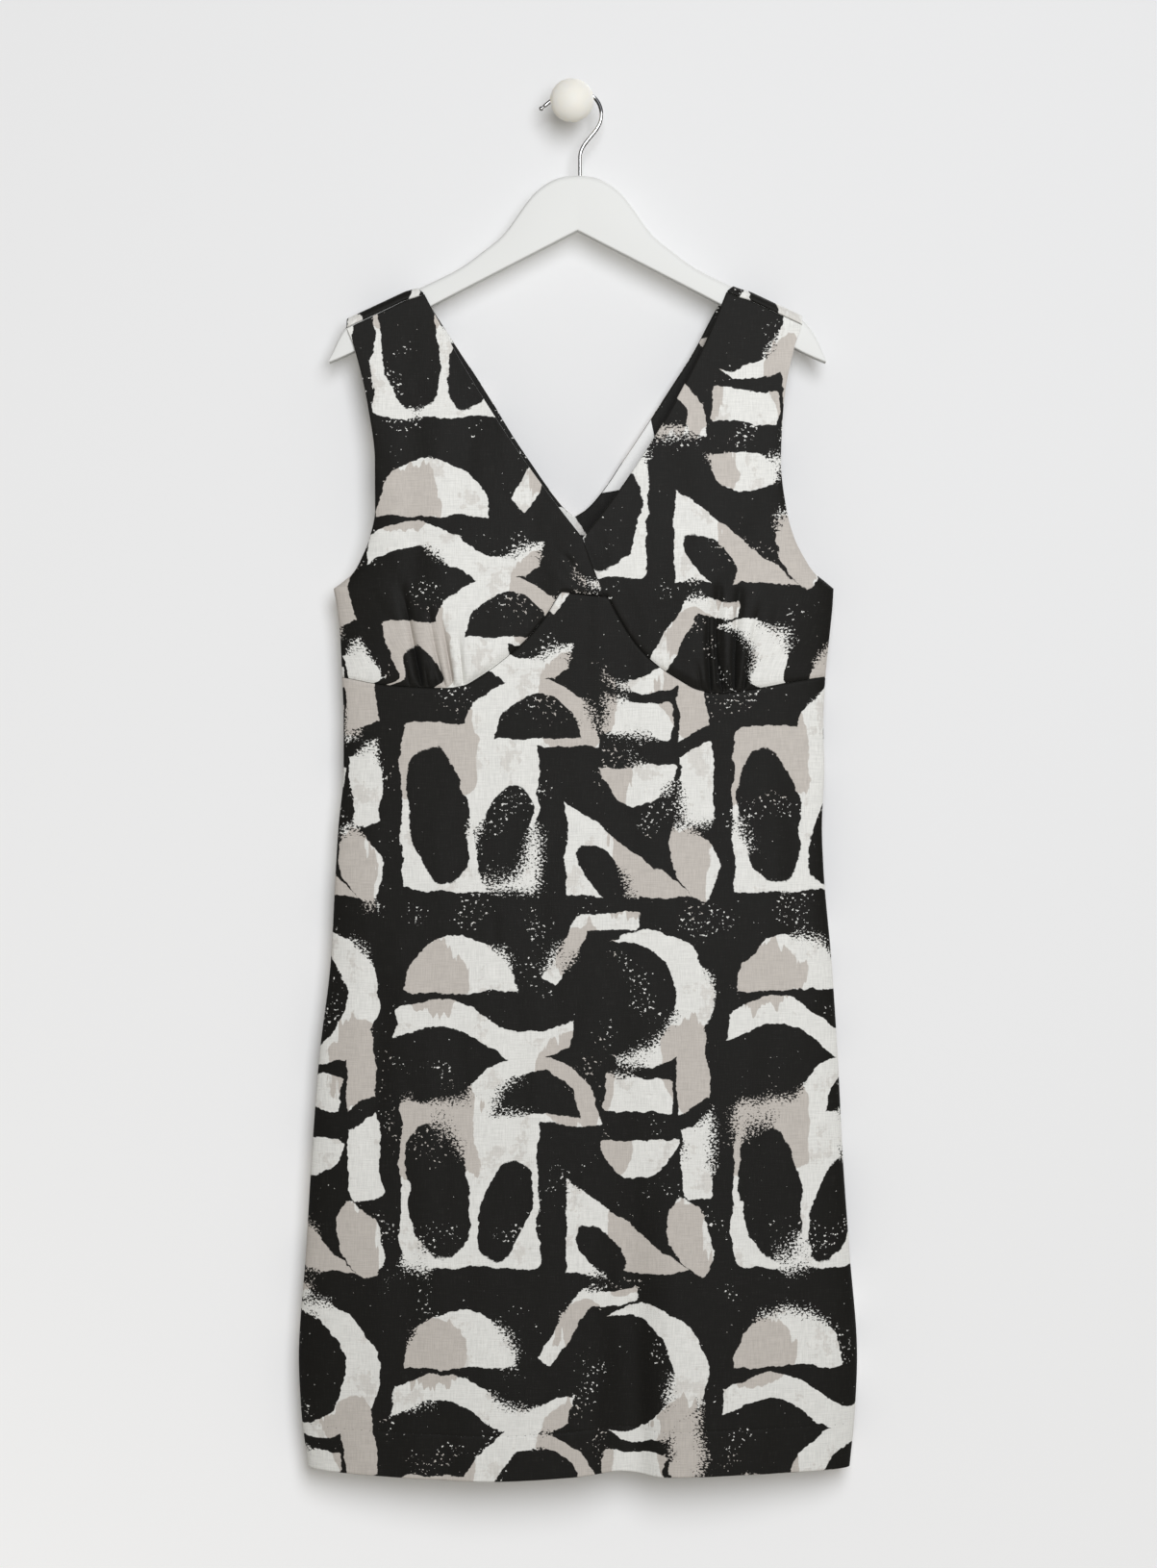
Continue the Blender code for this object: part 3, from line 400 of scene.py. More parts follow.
def tucks(x, drop):
    """How far the tucks sink the cloth, each a groove with a sharp bottom that widens upwards."""
    total = np.zeros(np.broadcast(x, drop).shape)
    for x0, d0, x1, d1, bow, deep in zip(*TUCKS.values()):
        run = math.hypot(x1 - x0, d1 - d0)
        share = ((x - x0) * (x1 - x0) + (drop - d0) * (d1 - d0)) / run**2
        share = np.clip(share, 0, 1)
        off = ((x - x0) * (d0 - d1) + (drop - d0) * (x1 - x0)) / run - 4 * bow * share * (1 - share)
        width = TUCK_WIDTHS[0] + (TUCK_WIDTHS[1] - TUCK_WIDTHS[0]) * share
        total += deep * (1 - share**2) * np.exp(-np.hypot(off, TUCK_ROUND) / width)
    return total


# Unevenness starts at this drop and is full this much lower.
SKIRT_CALM = (380.0, 260.0)
BACK_CALM = (150.0, 120.0)

# Waves: narrowest and widest, how many times longer than wide they are, and their share.
WAVES = ((45, 110, 4.5, 0.5), (18, 40, 3.0, 0.16), (7, 14, 2.2, 0.045))


def ripple(x, drop, seed, height):
    """Soft unevenness of hanging cloth: long waves down the garment, and shorter slacker ones."""
    rng = np.random.default_rng(seed)
    total = np.zeros(np.broadcast(x, drop).shape)
    for low, high, tall, share in WAVES:
        for _ in range(6):
            wide = rng.uniform(low, high)
            lean = rng.uniform(-1, 1) / (wide * tall)
            phase = rng.uniform(0, 2 * math.pi, 2)
            sway = 1.4 * np.sin(2 * math.pi * drop / (wide * tall * 1.7) + phase[1])
            total += share * np.sin(2 * math.pi * (x / wide + drop * lean) + phase[0] + sway)
    return height * total / 2.0


def crumple(x, drop, seed, count, depth, box):
    """Short faint creases left by folding and wear, scattered over box = x0, x1, drop0, drop1."""
    rng = np.random.default_rng(seed)
    rows = []
    for _ in range(count):
        cx, cd = rng.uniform(box[0], box[1]), rng.uniform(box[2], box[3])
        turn = rng.normal(0, 0.5) + (math.pi / 2 if rng.random() < 0.45 else 0)
        half = rng.uniform(6, 26)
        dx, dd = half * math.cos(turn), half * math.sin(turn)
        rise = depth * rng.uniform(0.3, 1.0) * rng.choice((-1, 1))
        rows.append((cx - dx, cd - dd, cx + dx, cd + dd, rng.uniform(1.6, 4.0), 0.3 * rise, rise))
    return folds(table(FOLD_COLUMNS, rows), x, drop)


def dome(x, drop):
    """0 at the outlines and 1 in the middle, like a flattened tube."""
    return np.sqrt(1 - np.abs(across(x, drop)) ** FULLNESS)


def seam_dip(distance, deep=1.2, wide=1.7):
    """How far the cloth sinks towards a seam."""
    return deep * np.exp(-((distance / wide) ** 2))


def front_plain(x, drop):
    low = section["front_edge"](drop) + STRIP
    return low + (section["front"](drop) - low) * dome(x, drop)


def skirt_base(x, drop):
    """The front's surface as the solids have it."""
    return front_plain(x, drop) + folds(SKIRT_FOLDS, x, drop) * dome(x, drop)


def skirt_forward(x, drop):
    fine = folds(SKIRT_CREASES, x, drop)
    start, run = SKIRT_CALM
    fine = fine + ripple(x, drop, seed=3, height=0.75) * ease((drop - start) / run)
    box = (-235, 235, 470, 1140)
    fine = fine + crumple(x, drop, seed=5, count=90, depth=0.34, box=box)
    near_hem = (drop - (hem_drop(x) - HEM_DEEP)) / HEM_LINE
    high, long = HEM_PUCKER
    pucker = high * np.sin(x / long) * np.exp(-((near_hem / HEM_PUCKER_WIDE) ** 2))
    fine = fine + pucker - HEM_LINE_DEEP * np.exp(-(near_hem**2))
    return skirt_base(x, drop) + fine * dome(x, drop)


def bodice_forward(x, drop):
    """The skirt's surface at the cup seam, with the cup's fullness and gathers above it."""
    up = seam_drop(x) - drop
    hold = ease(up / HOLD) * dome(x, drop)
    rise = folds(BODICE_FOLDS, x, drop) + folds(GATHERS, x, drop)
    rise = rise + ripple(x, drop, seed=11, height=0.6)
    rise = rise + crumple(x, drop, seed=13, count=70, depth=0.3, box=(-200, 200, 120, 440))
    held = ease(up / QUICK_HOLD) * dome(x, drop)
    tight = folds(BODICE_CREASES, x, drop) - tucks(x, drop)
    from_shoulder = ease((drop - shoulder_seam(x)) / SHOULDER_FADE)
    return skirt_base(x, drop) + (hold * rise + held * tight) * from_shoulder


def lapped_forward(x, drop):
    """The bodice that lies over the other one at the bottom of the V."""
    lap = ease((x - LAP_FROM[0]) / LAP_SPREAD[0]) * ease((drop - LAP_FROM[1]) / LAP_SPREAD[1])
    return bodice_forward(x, drop) + LAP_RISE * lap


def back_base(x, drop):
    low = section["back_edge"](drop) - STRIP
    high = section["back"](drop) - folds(BACK_FOLDS, x, drop)
    return low + (high - low) * dome(x, drop)


def back_forward(x, drop):
    fine = folds(BACK_CREASES, x, drop) + ripple(x, drop, seed=23, height=0.7)
    box = (-235, 235, 330, 1140)
    fine = fine + crumple(x, drop, seed=29, count=110, depth=0.32, box=box)
    near_hem = (drop - (HEM_SIDE - HEM_DEEP)) / HEM_LINE
    fine = fine - HEM_LINE_DEEP * np.exp(-(near_hem**2))
    start, run = BACK_CALM
    return back_base(x, drop) - fine * ease((drop - start) / run) * dome(x, drop)


FLAT_X = (-262.0, 262.1, 0.5)  # from, to and step of the places that the width is run over
FLAT_DROP = (88.0, 1172.0, 4.0)


def flat_x(surface):
    """x on the cloth laid flat, for a place on the hung cloth: the width run along each row."""
    xs, drops = np.arange(*FLAT_X), np.arange(*FLAT_DROP)
    forward = surface(xs[None, :], drops[:, None])
    run = np.cumsum(np.hypot(np.diff(forward, axis=1), FLAT_X[2]), axis=1)
    run = np.concatenate([np.zeros((len(drops), 1)), run], axis=1)
    run -= run[:, [np.searchsorted(xs, 0.0)]]

    def at(x, drop):
        i = np.clip((x - xs[0]) / FLAT_X[2], 0, len(xs) - 1.001)
        j = np.clip((drop - drops[0]) / FLAT_DROP[2], 0, len(drops) - 1.001)
        ci, cj = i.astype(int), j.astype(int)
        fi, fj = i - ci, j - cj
        low = run[cj, ci] * (1 - fi) + run[cj, ci + 1] * fi
        high = run[cj + 1, ci] * (1 - fi) + run[cj + 1, ci + 1] * fi
        return low * (1 - fj) + high * fj

    return at


def point(x, drop, forward):
    """World position, in metres, of a place on the garment."""
    x, drop, forward = np.broadcast_arrays(x, drop, forward)
    return np.stack([HANGER_X + x, -forward, HANGER_TOP - drop], axis=-1) * MM


# ---------------------------------------------------------------- shader nodes


class Field:
    """A node's output. Sums written with it add maths nodes, for other fields or plain numbers."""

    def __init__(self, sheet, socket):
        self.sheet, self.socket = sheet, socket

    def math(self, operation, *others):
        return self.sheet.math(operation, self, *others)

    __add__ = partialmethod(math, "ADD")
    __sub__ = partialmethod(math, "SUBTRACT")
    __mul__ = partialmethod(math, "MULTIPLY")
    __truediv__ = partialmethod(math, "DIVIDE")
    __pow__ = partialmethod(math, "POWER")
    __neg__ = partialmethod(math, "MULTIPLY", -1.0)
    __abs__ = partialmethod(math, "ABSOLUTE")
    lowest = partialmethod(math, "MINIMUM")
    highest = partialmethod(math, "MAXIMUM")
    times_add = partialmethod(math, "MULTIPLY_ADD")
    sine = partialmethod(math, "SINE")

    def __rsub__(self, other):
        return self.sheet.math("SUBTRACT", other, self)

    def __rtruediv__(self, other):
        return self.sheet.math("DIVIDE", other, self)


class Sheet:
    """Adds nodes to a node tree. The calls take fields or plain values, and most give a field."""

    def __init__(self, tree):
        self.tree = tree

    def fill(self, node, values):
        """Links a node's inputs to fields, or sets them to plain values."""
        for key, value in values.items():
            if isinstance(value, Field):
                self.tree.links.new(value.socket, node.inputs[key])
            else:
                node.inputs[key].default_value = value

    def add(self, kind, values=(), **settings):
        node = self.tree.nodes.new(kind)
        for name, value in settings.items():
            setattr(node, name, value)
        self.fill(node, dict(values))
        return node

    def put(self, kind, values=(), out=0, **settings):
        return Field(self, self.add(kind, values, **settings).outputs[out])

    def outputs(self, kind, values=()):
        """All the outputs of a new node."""
        return [Field(self, socket) for socket in self.add(kind, values).outputs]

    def math(self, operation, *values):
        return self.put("ShaderNodeMath", enumerate(values), operation=operation)

    def vector(self, operation, *values, out=0):
        return self.put("ShaderNodeVectorMath", enumerate(values), out, operation=operation)

    def length(self, x, y):
        return self.vector("LENGTH", self.join(x, y), out=1)

    def noise(self, place, scale, detail=2.0, rough=0.5, out=0):
        values = {"Vector": place, "Scale": scale, "Detail": detail, "Roughness": rough}
        return self.put("ShaderNodeTexNoise", values, out)

    def step(self, value, low, high, to_low=0.0, to_high=1.0):
        """A soft step from to_low to to_high as value goes from low to high."""
        values = enumerate((value, low, high, to_low, to_high))
        return self.put("ShaderNodeMapRange", values, interpolation_type="SMOOTHSTEP")

    def mix(self, share, low, high):
        return self.put("ShaderNodeMix", {0: share, 6: low, 7: high}, 2, data_type="RGBA")

    def split(self, place):
        return self.outputs("ShaderNodeSeparateXYZ", {0: place})

    def join(self, x, y, z=0.0):
        return self.put("ShaderNodeCombineXYZ", {0: x, 1: y, 2: z})

    def scaled(self, place, x, y, z=1.0):
        return self.vector("MULTIPLY", place, (x, y, z))

    def bump(self, height, strength, distance):
        values = {"Height": height, "Strength": strength, "Distance": distance}
        return self.put("ShaderNodeBump", values)

    def on_cloth(self):
        """The place on the flat cloth, in metres."""
        return self.put("ShaderNodeUVMap", uv_map="flat")

    def on_object(self):
        """The place in the object's own coordinates."""
        return self.put("ShaderNodeTexCoord", out=3)


def socket(tree, name, kind, way):
    tree.interface.new_socket(name=name, in_out=way, socket_type=kind)


# ---------------------------------------------------------------- the print

THREAD_PITCH = 0.00052  # metres
LABEL_PITCH = (0.0007, 0.00045)  # metres, along the label and across it

# An abstract repeat of pale cut-out shapes on black. Places and sizes are in mm on the flat
# cloth, from the middle of the repeat, x to the right and y up.
REPEAT = (296.0, 332.0)
INK = (0.0074, 0.0068, 0.0055, 1)
CHALK = (0.722, 0.715, 0.677, 1)
STONE = (0.505, 0.466, 0.422, 1)

WAVE_TURN = 3.6  # radians of swing over half of a wave's length

# kind, x, y, turn in degrees, and three sizes: stone and block have half sizes and roundness;
# dome its radius; moon its radius, the radius of the bite out of it and how far that lies to
# the right; sail its two legs; wave its half length, half width and swing.
PALE_SHAPES = [
    ("block", -84, -74, 0, 61, 74, 8),
    ("dome", -30, -20, 0, 62, 0, 0),
    ("wave", -72, 64, -6, 78, 12, 12),
    ("moon", 72, 90, 0, 60, 52, -24),
    ("block", 116, -14, 3, 14, 74, 4),
    ("sail", 2, -152, 0, 112, 84, 0),
    ("dome", -92, 96, 0, 50, 0, 0),
    ("block", 2, 132, 58, 33, 8, 2),
    ("block", 66, 6, -4, 30, 15, 3),
    ("dome", 66, -36, 180, 34, 0, 0),
    ("stone", 114, -122, 20, 20, 36, 1.6),
    ("block", 40, 158, 0, 26, 7, 2),
]
INK_ISLANDS = [
    ("stone", -112, -80, 8, 27, 60, 2.2),
    ("stone", -52, -98, -16, 22, 46, 2.0),
    ("dome", -24, -12, 0, 38, 0, 0),
    ("block", 116, -12, 30, 20, 7, 3),
    ("stone", 34, -132, 40, 15, 30, 2.0),
]
STONE_PATCHES = [
    ("block", -118, -22, 4, 40, 44, 16),
    ("stone", 10, 20, -5, 36, 44, 2.4),
    ("block", 84, -132, 2, 44, 40, 8),
    ("stone", 116, 30, 12, 30, 40, 2.6),
    ("stone", -120, 110, 0, 36, 30, 2.0),
    ("stone", 20, 130, 0, 26, 26, 2.0),
    ("stone", 44, -44, 0, 18, 26, 2.0),
]


def local(sheet, place, x, y, turn):
    """Where place is from a shape's own middle, the nearest one of its repeats."""
    half = np.array((*REPEAT, 2)) / 2
    away = sheet.vector("WRAP", sheet.vector("SUBTRACT", place, (x, y, 0)), half, -half)
    values = {"Vector": away, "Angle": math.radians(-turn)}
    return sheet.put("ShaderNodeVectorRotate", values, rotation_type="Z_AXIS") if turn else away


def shape_distance(sheet, place, kind, x, y, turn, a, b, c):
    """About how far place is outside a shape, in mm, and below zero inside it."""
    px, py, _ = sheet.split(local(sheet, place, x, y, turn))
    if kind == "stone":
        total = (abs(px) / a) ** c + (abs(py) / b) ** c
        return (total ** (1 / c) - 1.0) * min(a, b)
    if kind == "block":
        qx, qy = abs(px) - (a - c), abs(py) - (b - c)
        outside = sheet.length(qx.highest(0.0), qy.highest(0.0))
        return outside + qx.highest(qy).lowest(0.0) - c
    if kind == "dome":
        return (sheet.length(px, py) - a).highest(-py)
    if kind == "sail":
        slope = (px / a + py / b - 1.0) * (a * b / math.hypot(a, b))
        return (-px).highest(-py).highest(slope)
    if kind == "moon":
        return (sheet.length(px, py) - a).highest(b - sheet.length(px - c, py))
    swing = (px * (WAVE_TURN / a)).sine() * c
    return (abs(py + swing) - b).highest(abs(px) - a)


def nearest(sheet, place, shapes):
    """How far place is outside the nearest of the shapes."""
    return reduce(Field.lowest, (shape_distance(sheet, place, *shape) for shape in shapes))


def wandering(sheet, place, scale, reach):
    """A soft sideways wander of places, up to about half of reach, in mm."""
    noise = sheet.noise(place, scale, 1.0, out=1)
    return sheet.scaled(sheet.vector("SUBTRACT", noise, (0.5, 0.5, 0.5)), reach, reach, 0.0)


def print_group():
    """Cloth place in metres in, and how much the ink has spread in mm; the print's colour out."""
    tree = bpy.data.node_groups.new("cut_out_print", "ShaderNodeTree")
    socket(tree, "Place", "NodeSocketVector", "INPUT")
    socket(tree, "Spread", "NodeSocketFloat", "INPUT")
    socket(tree, "Colour", "NodeSocketColor", "OUTPUT")
    sheet = Sheet(tree)
    entry, spread, *_ = sheet.outputs("NodeGroupInput")
    place = sheet.scaled(entry, 1000.0, 1000.0, 0.0)

    # Hand-cut outlines wander a little.
    cut = sheet.vector("ADD", place, wandering(sheet, place, 0.034, 13.0))
    cut = sheet.vector("ADD", cut, wandering(sheet, place, 0.17, 4.0))

    # Dry-brush grain, only in some places.
    where = sheet.step(sheet.noise(place, 0.0125, 1.0), 0.545, 0.66)
    grain = sheet.noise(sheet.scaled(place, 1.0, 1.35), 0.42, 3.0, 0.62) - 0.5
    rough = grain * sheet.step(where, 0.0, 1.0, 1.8, 52.0)

    # Chalk with grey washes, and stone patches with bristly ends in places.
    wash = sheet.noise(sheet.scaled(place, 1.0, 0.8), 0.036, 3.0, 0.6)
    fleck = sheet.noise(place, 0.26, 2.0, 0.6) - 0.5
    ground = sheet.mix(sheet.step(wash + fleck * 0.35, 0.56, 0.64, 0.0, 0.42), CHALK, STONE)
    bristle = sheet.noise(sheet.scaled(place, 1.0, 0.16), 0.11, 2.0, 0.6) - 0.5
    bristly = sheet.step(sheet.noise(place, 0.028, 0.0), 0.40, 0.62, 3.0, 46.0)
    patch = nearest(sheet, cut, STONE_PATCHES) + bristle * bristly
    ground = sheet.mix(sheet.step(patch, 0.5, -0.5), ground, STONE)

    # Ink round the pale shapes and in islands on them, and specks where it missed.
    ink = (-nearest(sheet, cut, PALE_SHAPES)).lowest(nearest(sheet, cut, INK_ISLANDS))
    inked = sheet.step(ink + rough - spread, 0.35, -0.35)
    where_specks = sheet.step(sheet.noise(place, 0.021, 1.0), 0.53, 0.66)
    specks = sheet.noise(sheet.scaled(place, 1.0, 1.2), 0.30, 2.0, 0.55)
    specks = sheet.step(specks + where_specks * 0.115, 0.735, 0.755)
    inked = inked * (1.0 - specks)
    sheet.fill(tree.nodes.new("NodeGroupOutput"), {0: sheet.mix(inked, ground, INK)})
    return tree


# ---------------------------------------------------------------- materials


def material(name):
    """A new material, what adds its nodes, and its shader."""
    made = bpy.data.materials.new(name)
    made.use_nodes = True
    return made, Sheet(made.node_tree), made.node_tree.nodes["Principled BSDF"]


def waves(run, pitch):
    """A sine that repeats at this pitch, in metres."""
    return (run * (2 * math.pi / pitch)).sine()


def print_cloth(name, group, faded=0.0, spread=0.0):
    """The printed linen-look cloth. faded is how much paler its wrong side shows, and spread how
    far the ink has run over the pale shapes, in mm."""
    made, sheet, shader = material(name)
    place = sheet.on_cloth()
    colour = sheet.put("ShaderNodeGroup", {"Place": place, "Spread": spread}, node_tree=group)

    # A plain weave of crossing threads, with uneven slubs along both ways.
    x, y, _ = sheet.split(place)
    weave = waves(x, THREAD_PITCH) * waves(y, THREAD_PITCH)
    slub_up = sheet.noise(sheet.scaled(place, 1300.0, 70.0), 1.0, 2.0, 0.6)
    slub_across = sheet.noise(sheet.scaled(place, 60.0, 1500.0), 1.0, 2.0, 0.6)
    slubs = slub_up + slub_across
    tone = sheet.step(slubs, 0.72, 1.28, 0.90, 1.10)
    colour = sheet.put("ShaderNodeVectorMath", {0: colour, "Scale": tone}, operation="SCALE")
    if faded:
        colour = sheet.mix(faded, colour, (0.34, 0.33, 0.31, 1))
    # The thickest slubs are painted paler: a painted highlight where they stand up from the weave
    # and catch the light.
    slub_highlight = sheet.step(slubs, 1.06, 1.34, 0.0, 0.014)
    sheet.fill(shader, {
        "Base Color": sheet.mix(slub_highlight, colour, (0.5, 0.49, 0.46, 1)),
        "Normal": sheet.bump(weave * 0.175 + slubs, 0.32, 0.00035),
        "Roughness": 0.60, "Specular IOR Level": 0.15, "Sheen Weight": 0.03, "Sheen Roughness": 0.5,
    })
    return made


def woven_label():
    made, sheet, shader = material("woven_label")
    place = sheet.on_cloth()
    x, y, _ = sheet.split(place)
    relief = waves(y, LABEL_PITCH[1]) + waves(x, LABEL_PITCH[0]) * 0.4
    fuzz = sheet.noise(sheet.scaled(place, 900.0, 2400.0), 1.0, 2.0)
    sheet.fill(shader, {
        "Base Color": sheet.mix(fuzz, (0.74, 0.735, 0.71, 1), (0.86, 0.855, 0.835, 1)),
        "Normal": sheet.bump(relief, 0.25, 0.0001),
        "Roughness": 0.6, "Sheen Weight": 0.15,
    })
    return made


def painted_wood():
    """Satin white paint over sanded wood: faint grain under it, and slightly uneven gloss."""
    made, sheet, shader = material("painted_wood")
    place = sheet.on_object()
    grain = sheet.noise(sheet.scaled(place, 14.0, 90.0, 90.0), 1.0, 4.0, 0.6)
    drift = sheet.noise(place, 9.0, 2.0)
    sheet.fill(shader, {
        "Base Color": sheet.mix(drift, (0.685, 0.685, 0.66, 1), (0.72, 0.72, 0.695, 1)),
        "Roughness": sheet.step(drift, 0.3, 0.7, 0.48, 0.58),
        "Normal": sheet.bump(grain, 0.12, 0.0006),
        "Specular IOR Level": 0.25,
    })
    return made


def knob_paint():
    """Smooth off-white lacquer, a little warmer than the hanger."""
    made, sheet, shader = material("knob_paint")
    place = sheet.on_object()
    drift = sheet.noise(place, 30.0, 2.0)
    orange_peel = sheet.noise(place, 420.0, 2.0)
    sheet.fill(shader, {
        "Base Color": sheet.mix(drift, (0.70, 0.684, 0.637, 1), (0.735, 0.719, 0.672, 1)),
        "Roughness": sheet.step(drift, 0.3, 0.7, 0.46, 0.54),
        "Normal": sheet.bump(orange_peel, 0.05, 0.0003),
        "Specular IOR Level": 0.3,
        "Subsurface Weight": 0.9, "Subsurface Radius": (1.0, 0.9, 0.75), "Subsurface Scale": 0.03,
    })
    return made


def chrome():
    """Polished plating with faint marks. Its upper bend has a painted dark reflection: the base
    colour turns near black there, where a dark part of the room would show.
    """
    made, sheet, shader = material("chrome")
    marks = sheet.noise(sheet.scaled(sheet.on_object(), 1.0, 1.0, 0.25), 900.0, 2.0)
    tint = sheet.mix(marks, (0.46, 0.46, 0.465, 1), (0.56, 0.56, 0.56, 1))
    # Painted reflection: the base colour darkens to near black over this stretch of the wire's
    # length.
    along_wire, *_ = sheet.split(sheet.on_cloth())
    away = abs(along_wire * 1000.0 - PAINTED_REFLECTION_BEND[0])
    dark = sheet.step(away, PAINTED_REFLECTION_BEND[1], PAINTED_REFLECTION_BEND[1] - PAINTED_REFLECTION_FADE, 0.0, 0.93)
    sheet.fill(shader, {
        "Base Color": sheet.mix(dark, tint, (0.02, 0.02, 0.022, 1)),
        "Roughness": sheet.step(marks, 0.3, 0.8, 0.06, 0.16),
        "Metallic": 1.0,
    })
    return made


def thread(name, dark, light):
    made, sheet, shader = material(name)
    twist = sheet.noise(sheet.on_object(), 2600.0, 2.0)
    sheet.fill(shader, {
        "Base Color": sheet.mix(twist, dark, light),
        "Normal": sheet.bump(twist, 0.4, 0.0001),
        "Roughness": 0.7,
    })
    return made


# ---------------------------------------------------------------- meshes


def welded(name, grids, outward):
    """A mesh of grids of points with their flat-cloth places, welded where grids meet."""
    points, faces, flats = [], [], []
    start = 0
    for place, flat in grids:
        rows, cols = place.shape[:2]
        index = start + np.arange(rows * cols).reshape(rows, cols)
        corners = (index[:-1, :-1], index[:-1, 1:], index[1:, 1:], index[1:, :-1])
        faces.append(np.stack([c.ravel() for c in corners], axis=1))
        points.append(place.reshape(-1, 3))
        flats.append(np.broadcast_to(flat, (rows, cols, 2)).reshape(-1, 2))
        start += rows * cols
    faces, flats = np.concatenate(faces), np.concatenate(flats)
    mesh = bpy.data.meshes.new(name)
    mesh.from_pydata(np.concatenate(points).tolist(), [], faces.tolist())
    layer = mesh.uv_layers.new(name="flat")
    layer.uv.foreach_set("vector", flats[faces.ravel()].astype(np.float32).ravel())
    work = bmesh.new()
    work.from_mesh(mesh)
    bmesh.ops.remove_doubles(work, verts=work.verts, dist=0.01 * MM)
    bmesh.ops.recalc_face_normals(work, faces=work.faces)
    facing = sum((face.normal * face.calc_area() for face in work.faces), Vector())
    if facing.dot(Vector(outward)) < 0:
        bmesh.ops.reverse_faces(work, faces=work.faces)
    work.to_mesh(mesh)
    work.free()
    mesh.shade_smooth()
    return mesh


def shown(name, data, *materials):
    obj = bpy.data.objects.new(name, data)
    for item in materials:
        data.materials.append(item)
    bpy.context.scene.collection.objects.link(obj)
    return obj


def cloth(name, grids, outward, thick, sides):
    """A cloth piece: its outer face as grids, thickened inward, with materials for both sides."""
    obj = shown(name, welded(name, grids, outward), *sides)
    solidify = obj.modifiers.new("thickness", "SOLIDIFY")
    solidify.thickness = thick * MM
    solidify.offset = -1
    solidify.material_offset = 1
    return obj


def flat_place(across_run, drop, shift):
    """The place on the flat cloth, in metres, moved so that each piece is cut elsewhere."""
    across_run, drop = np.broadcast_arrays(across_run, drop)
    return np.stack([across_run + shift[0], shift[1] - drop], axis=-1) * MM


# ---------------------------------------------------------------- the dress

# Distances of the first rows or columns from an edge or a seam, where they are closest.
NEAR_EDGE = np.array([0.0, 0.25, 0.8, 1.6, 3.0])
NEAR_SEAM = np.array([0.0, 0.6, 1.3, 2.1, 3.2, 4.6])
NEAR_SIDE = np.array([0.0, 0.3, 1.0, 2.2, 4.0, 6.5, 10.0, 14.0, 19.0, 25.0, 32.0])
NEAR_HEM = np.array([0.0, 0.7, 2.0, 4.0])
NEAR_HEM_STITCH = np.array([-3.0, -1.8, -1.0, -0.4, 0.3, 1.0, 1.8, 3.0])
HALF_WIDTH = 225.0  # the garment's, which columns near its sides are spaced for
BACK_HALF_WIDTH = 200.0  # the same near the back V

# Steps between rows and columns: a bodice's below and above the underarm, and from its side to
# its gathers, over them and on to the lap; the skirt's columns; the back's columns, and its rows
# in the hem, up to the underarm and up to the V.
BODICE_ROWS = (2.6, 3.2)
BODICE_COLUMNS = (2.4, 0.7, 2.6)
SKIRT_COLUMNS = 2.7
BACK_COLUMNS = 3.1
BACK_ROWS = (5.0, 4.6, 3.2)
BODICE_LENGTHS = (92.0, 262.0)  # below and above the underarm, which its rows are spaced for
GATHER_SPAN = {"left": (-166, -94), "right": (172, 102)}
SKIRT_ROWS = (151, 8)  # how many steps down to the hem's stitching, and on to the hem
ARM_ROWS = 62  # up the back from the V to the ridge
OVER_ROWS = 21  # and over the arm
OVER_TUCK = 0.5  # how far the end of the wrap is tucked in
CURL_FROM = 6.0  # height above the V where the neck's edge curls fully
LOW_SHARE = 0.25  # share of a bodice's rows below the underarm

TURN_UP_STEP = 5.0
TURN_UP_SHORT = 4  # columns that it ends before each side seam
TURN_UP_ROWS = np.array([0.2, 0.9, 3.0, 10.0, 20.0, 30.0, 36.0, 39.0, HEM_DEEP])

FACING_COLUMNS = 121
FACING_STEP = 4.0
FACING_ROLLS = (1.2, 0.7)  # radii at the neck and at the free edge
LABEL_EDGE = np.array([0.0, 0.3, 0.9])
LABEL_STEP = 1.6
LABEL_COLUMNS = 61
LABEL_ROLL = 0.35
LABEL_WAVE = (0.25, 9.0)  # how far it waves, and over what length
LABEL_WAVE_FROM = 6.0  # depth from which it waves fully

# Stitches. Those of the hem are spaced by shares of half the width.
HEM_STITCH_END = 0.965
HEM_STITCH_PITCH = 0.031
HEM_STITCH_HALF = 0.55
HEM_STITCH_PROUD = 0.06
HEM_THREAD = 0.22
LABEL_STITCH_PITCH = 2.6
LABEL_STITCH_LONG = 1.7
LABEL_STITCH_PROUD = 0.12
LABEL_STITCH_IN = 0.9  # from the label's edges
LABEL_STITCH_END = 1.5  # from its corners
LABEL_THREAD = 0.2

PRINT_SHIFT = {
    "bodice_left": (38.0, 70.0),
    "bodice_right": (-84.0, 214.0),
    "skirt": (12.0, 160.0),
    "back": (120.0, 20.0),
    "facing": (-60.0, 96.0),
}


def steps(low, high, size):
    """Even steps of about this size."""
    return np.linspace(low, high, max(2, round(abs(high - low) / size)) + 1)


def turned_edge(distance, radius=EDGE_ROLL):
    """How far a finished edge curls under, at this distance from it."""
    left = np.clip(radius - distance, 0, radius)
    return radius - np.sqrt(radius**2 - left**2)


def with_strip(grids, tips, at_start, at_end):
    """The x, drop and forward grids, with the strip beside an outline as one more column."""
    x, drop, forward = grids
    if at_start:
        x, drop = (np.concatenate([g[:, :1], g], axis=1) for g in (x, drop))
        forward = np.concatenate([tips[:, None], forward], axis=1)
    if at_end:
        x, drop = (np.concatenate([g, g[:, -1:]], axis=1) for g in (x, drop))
        forward = np.concatenate([forward, tips[:, None]], axis=1)
    return x, drop, forward


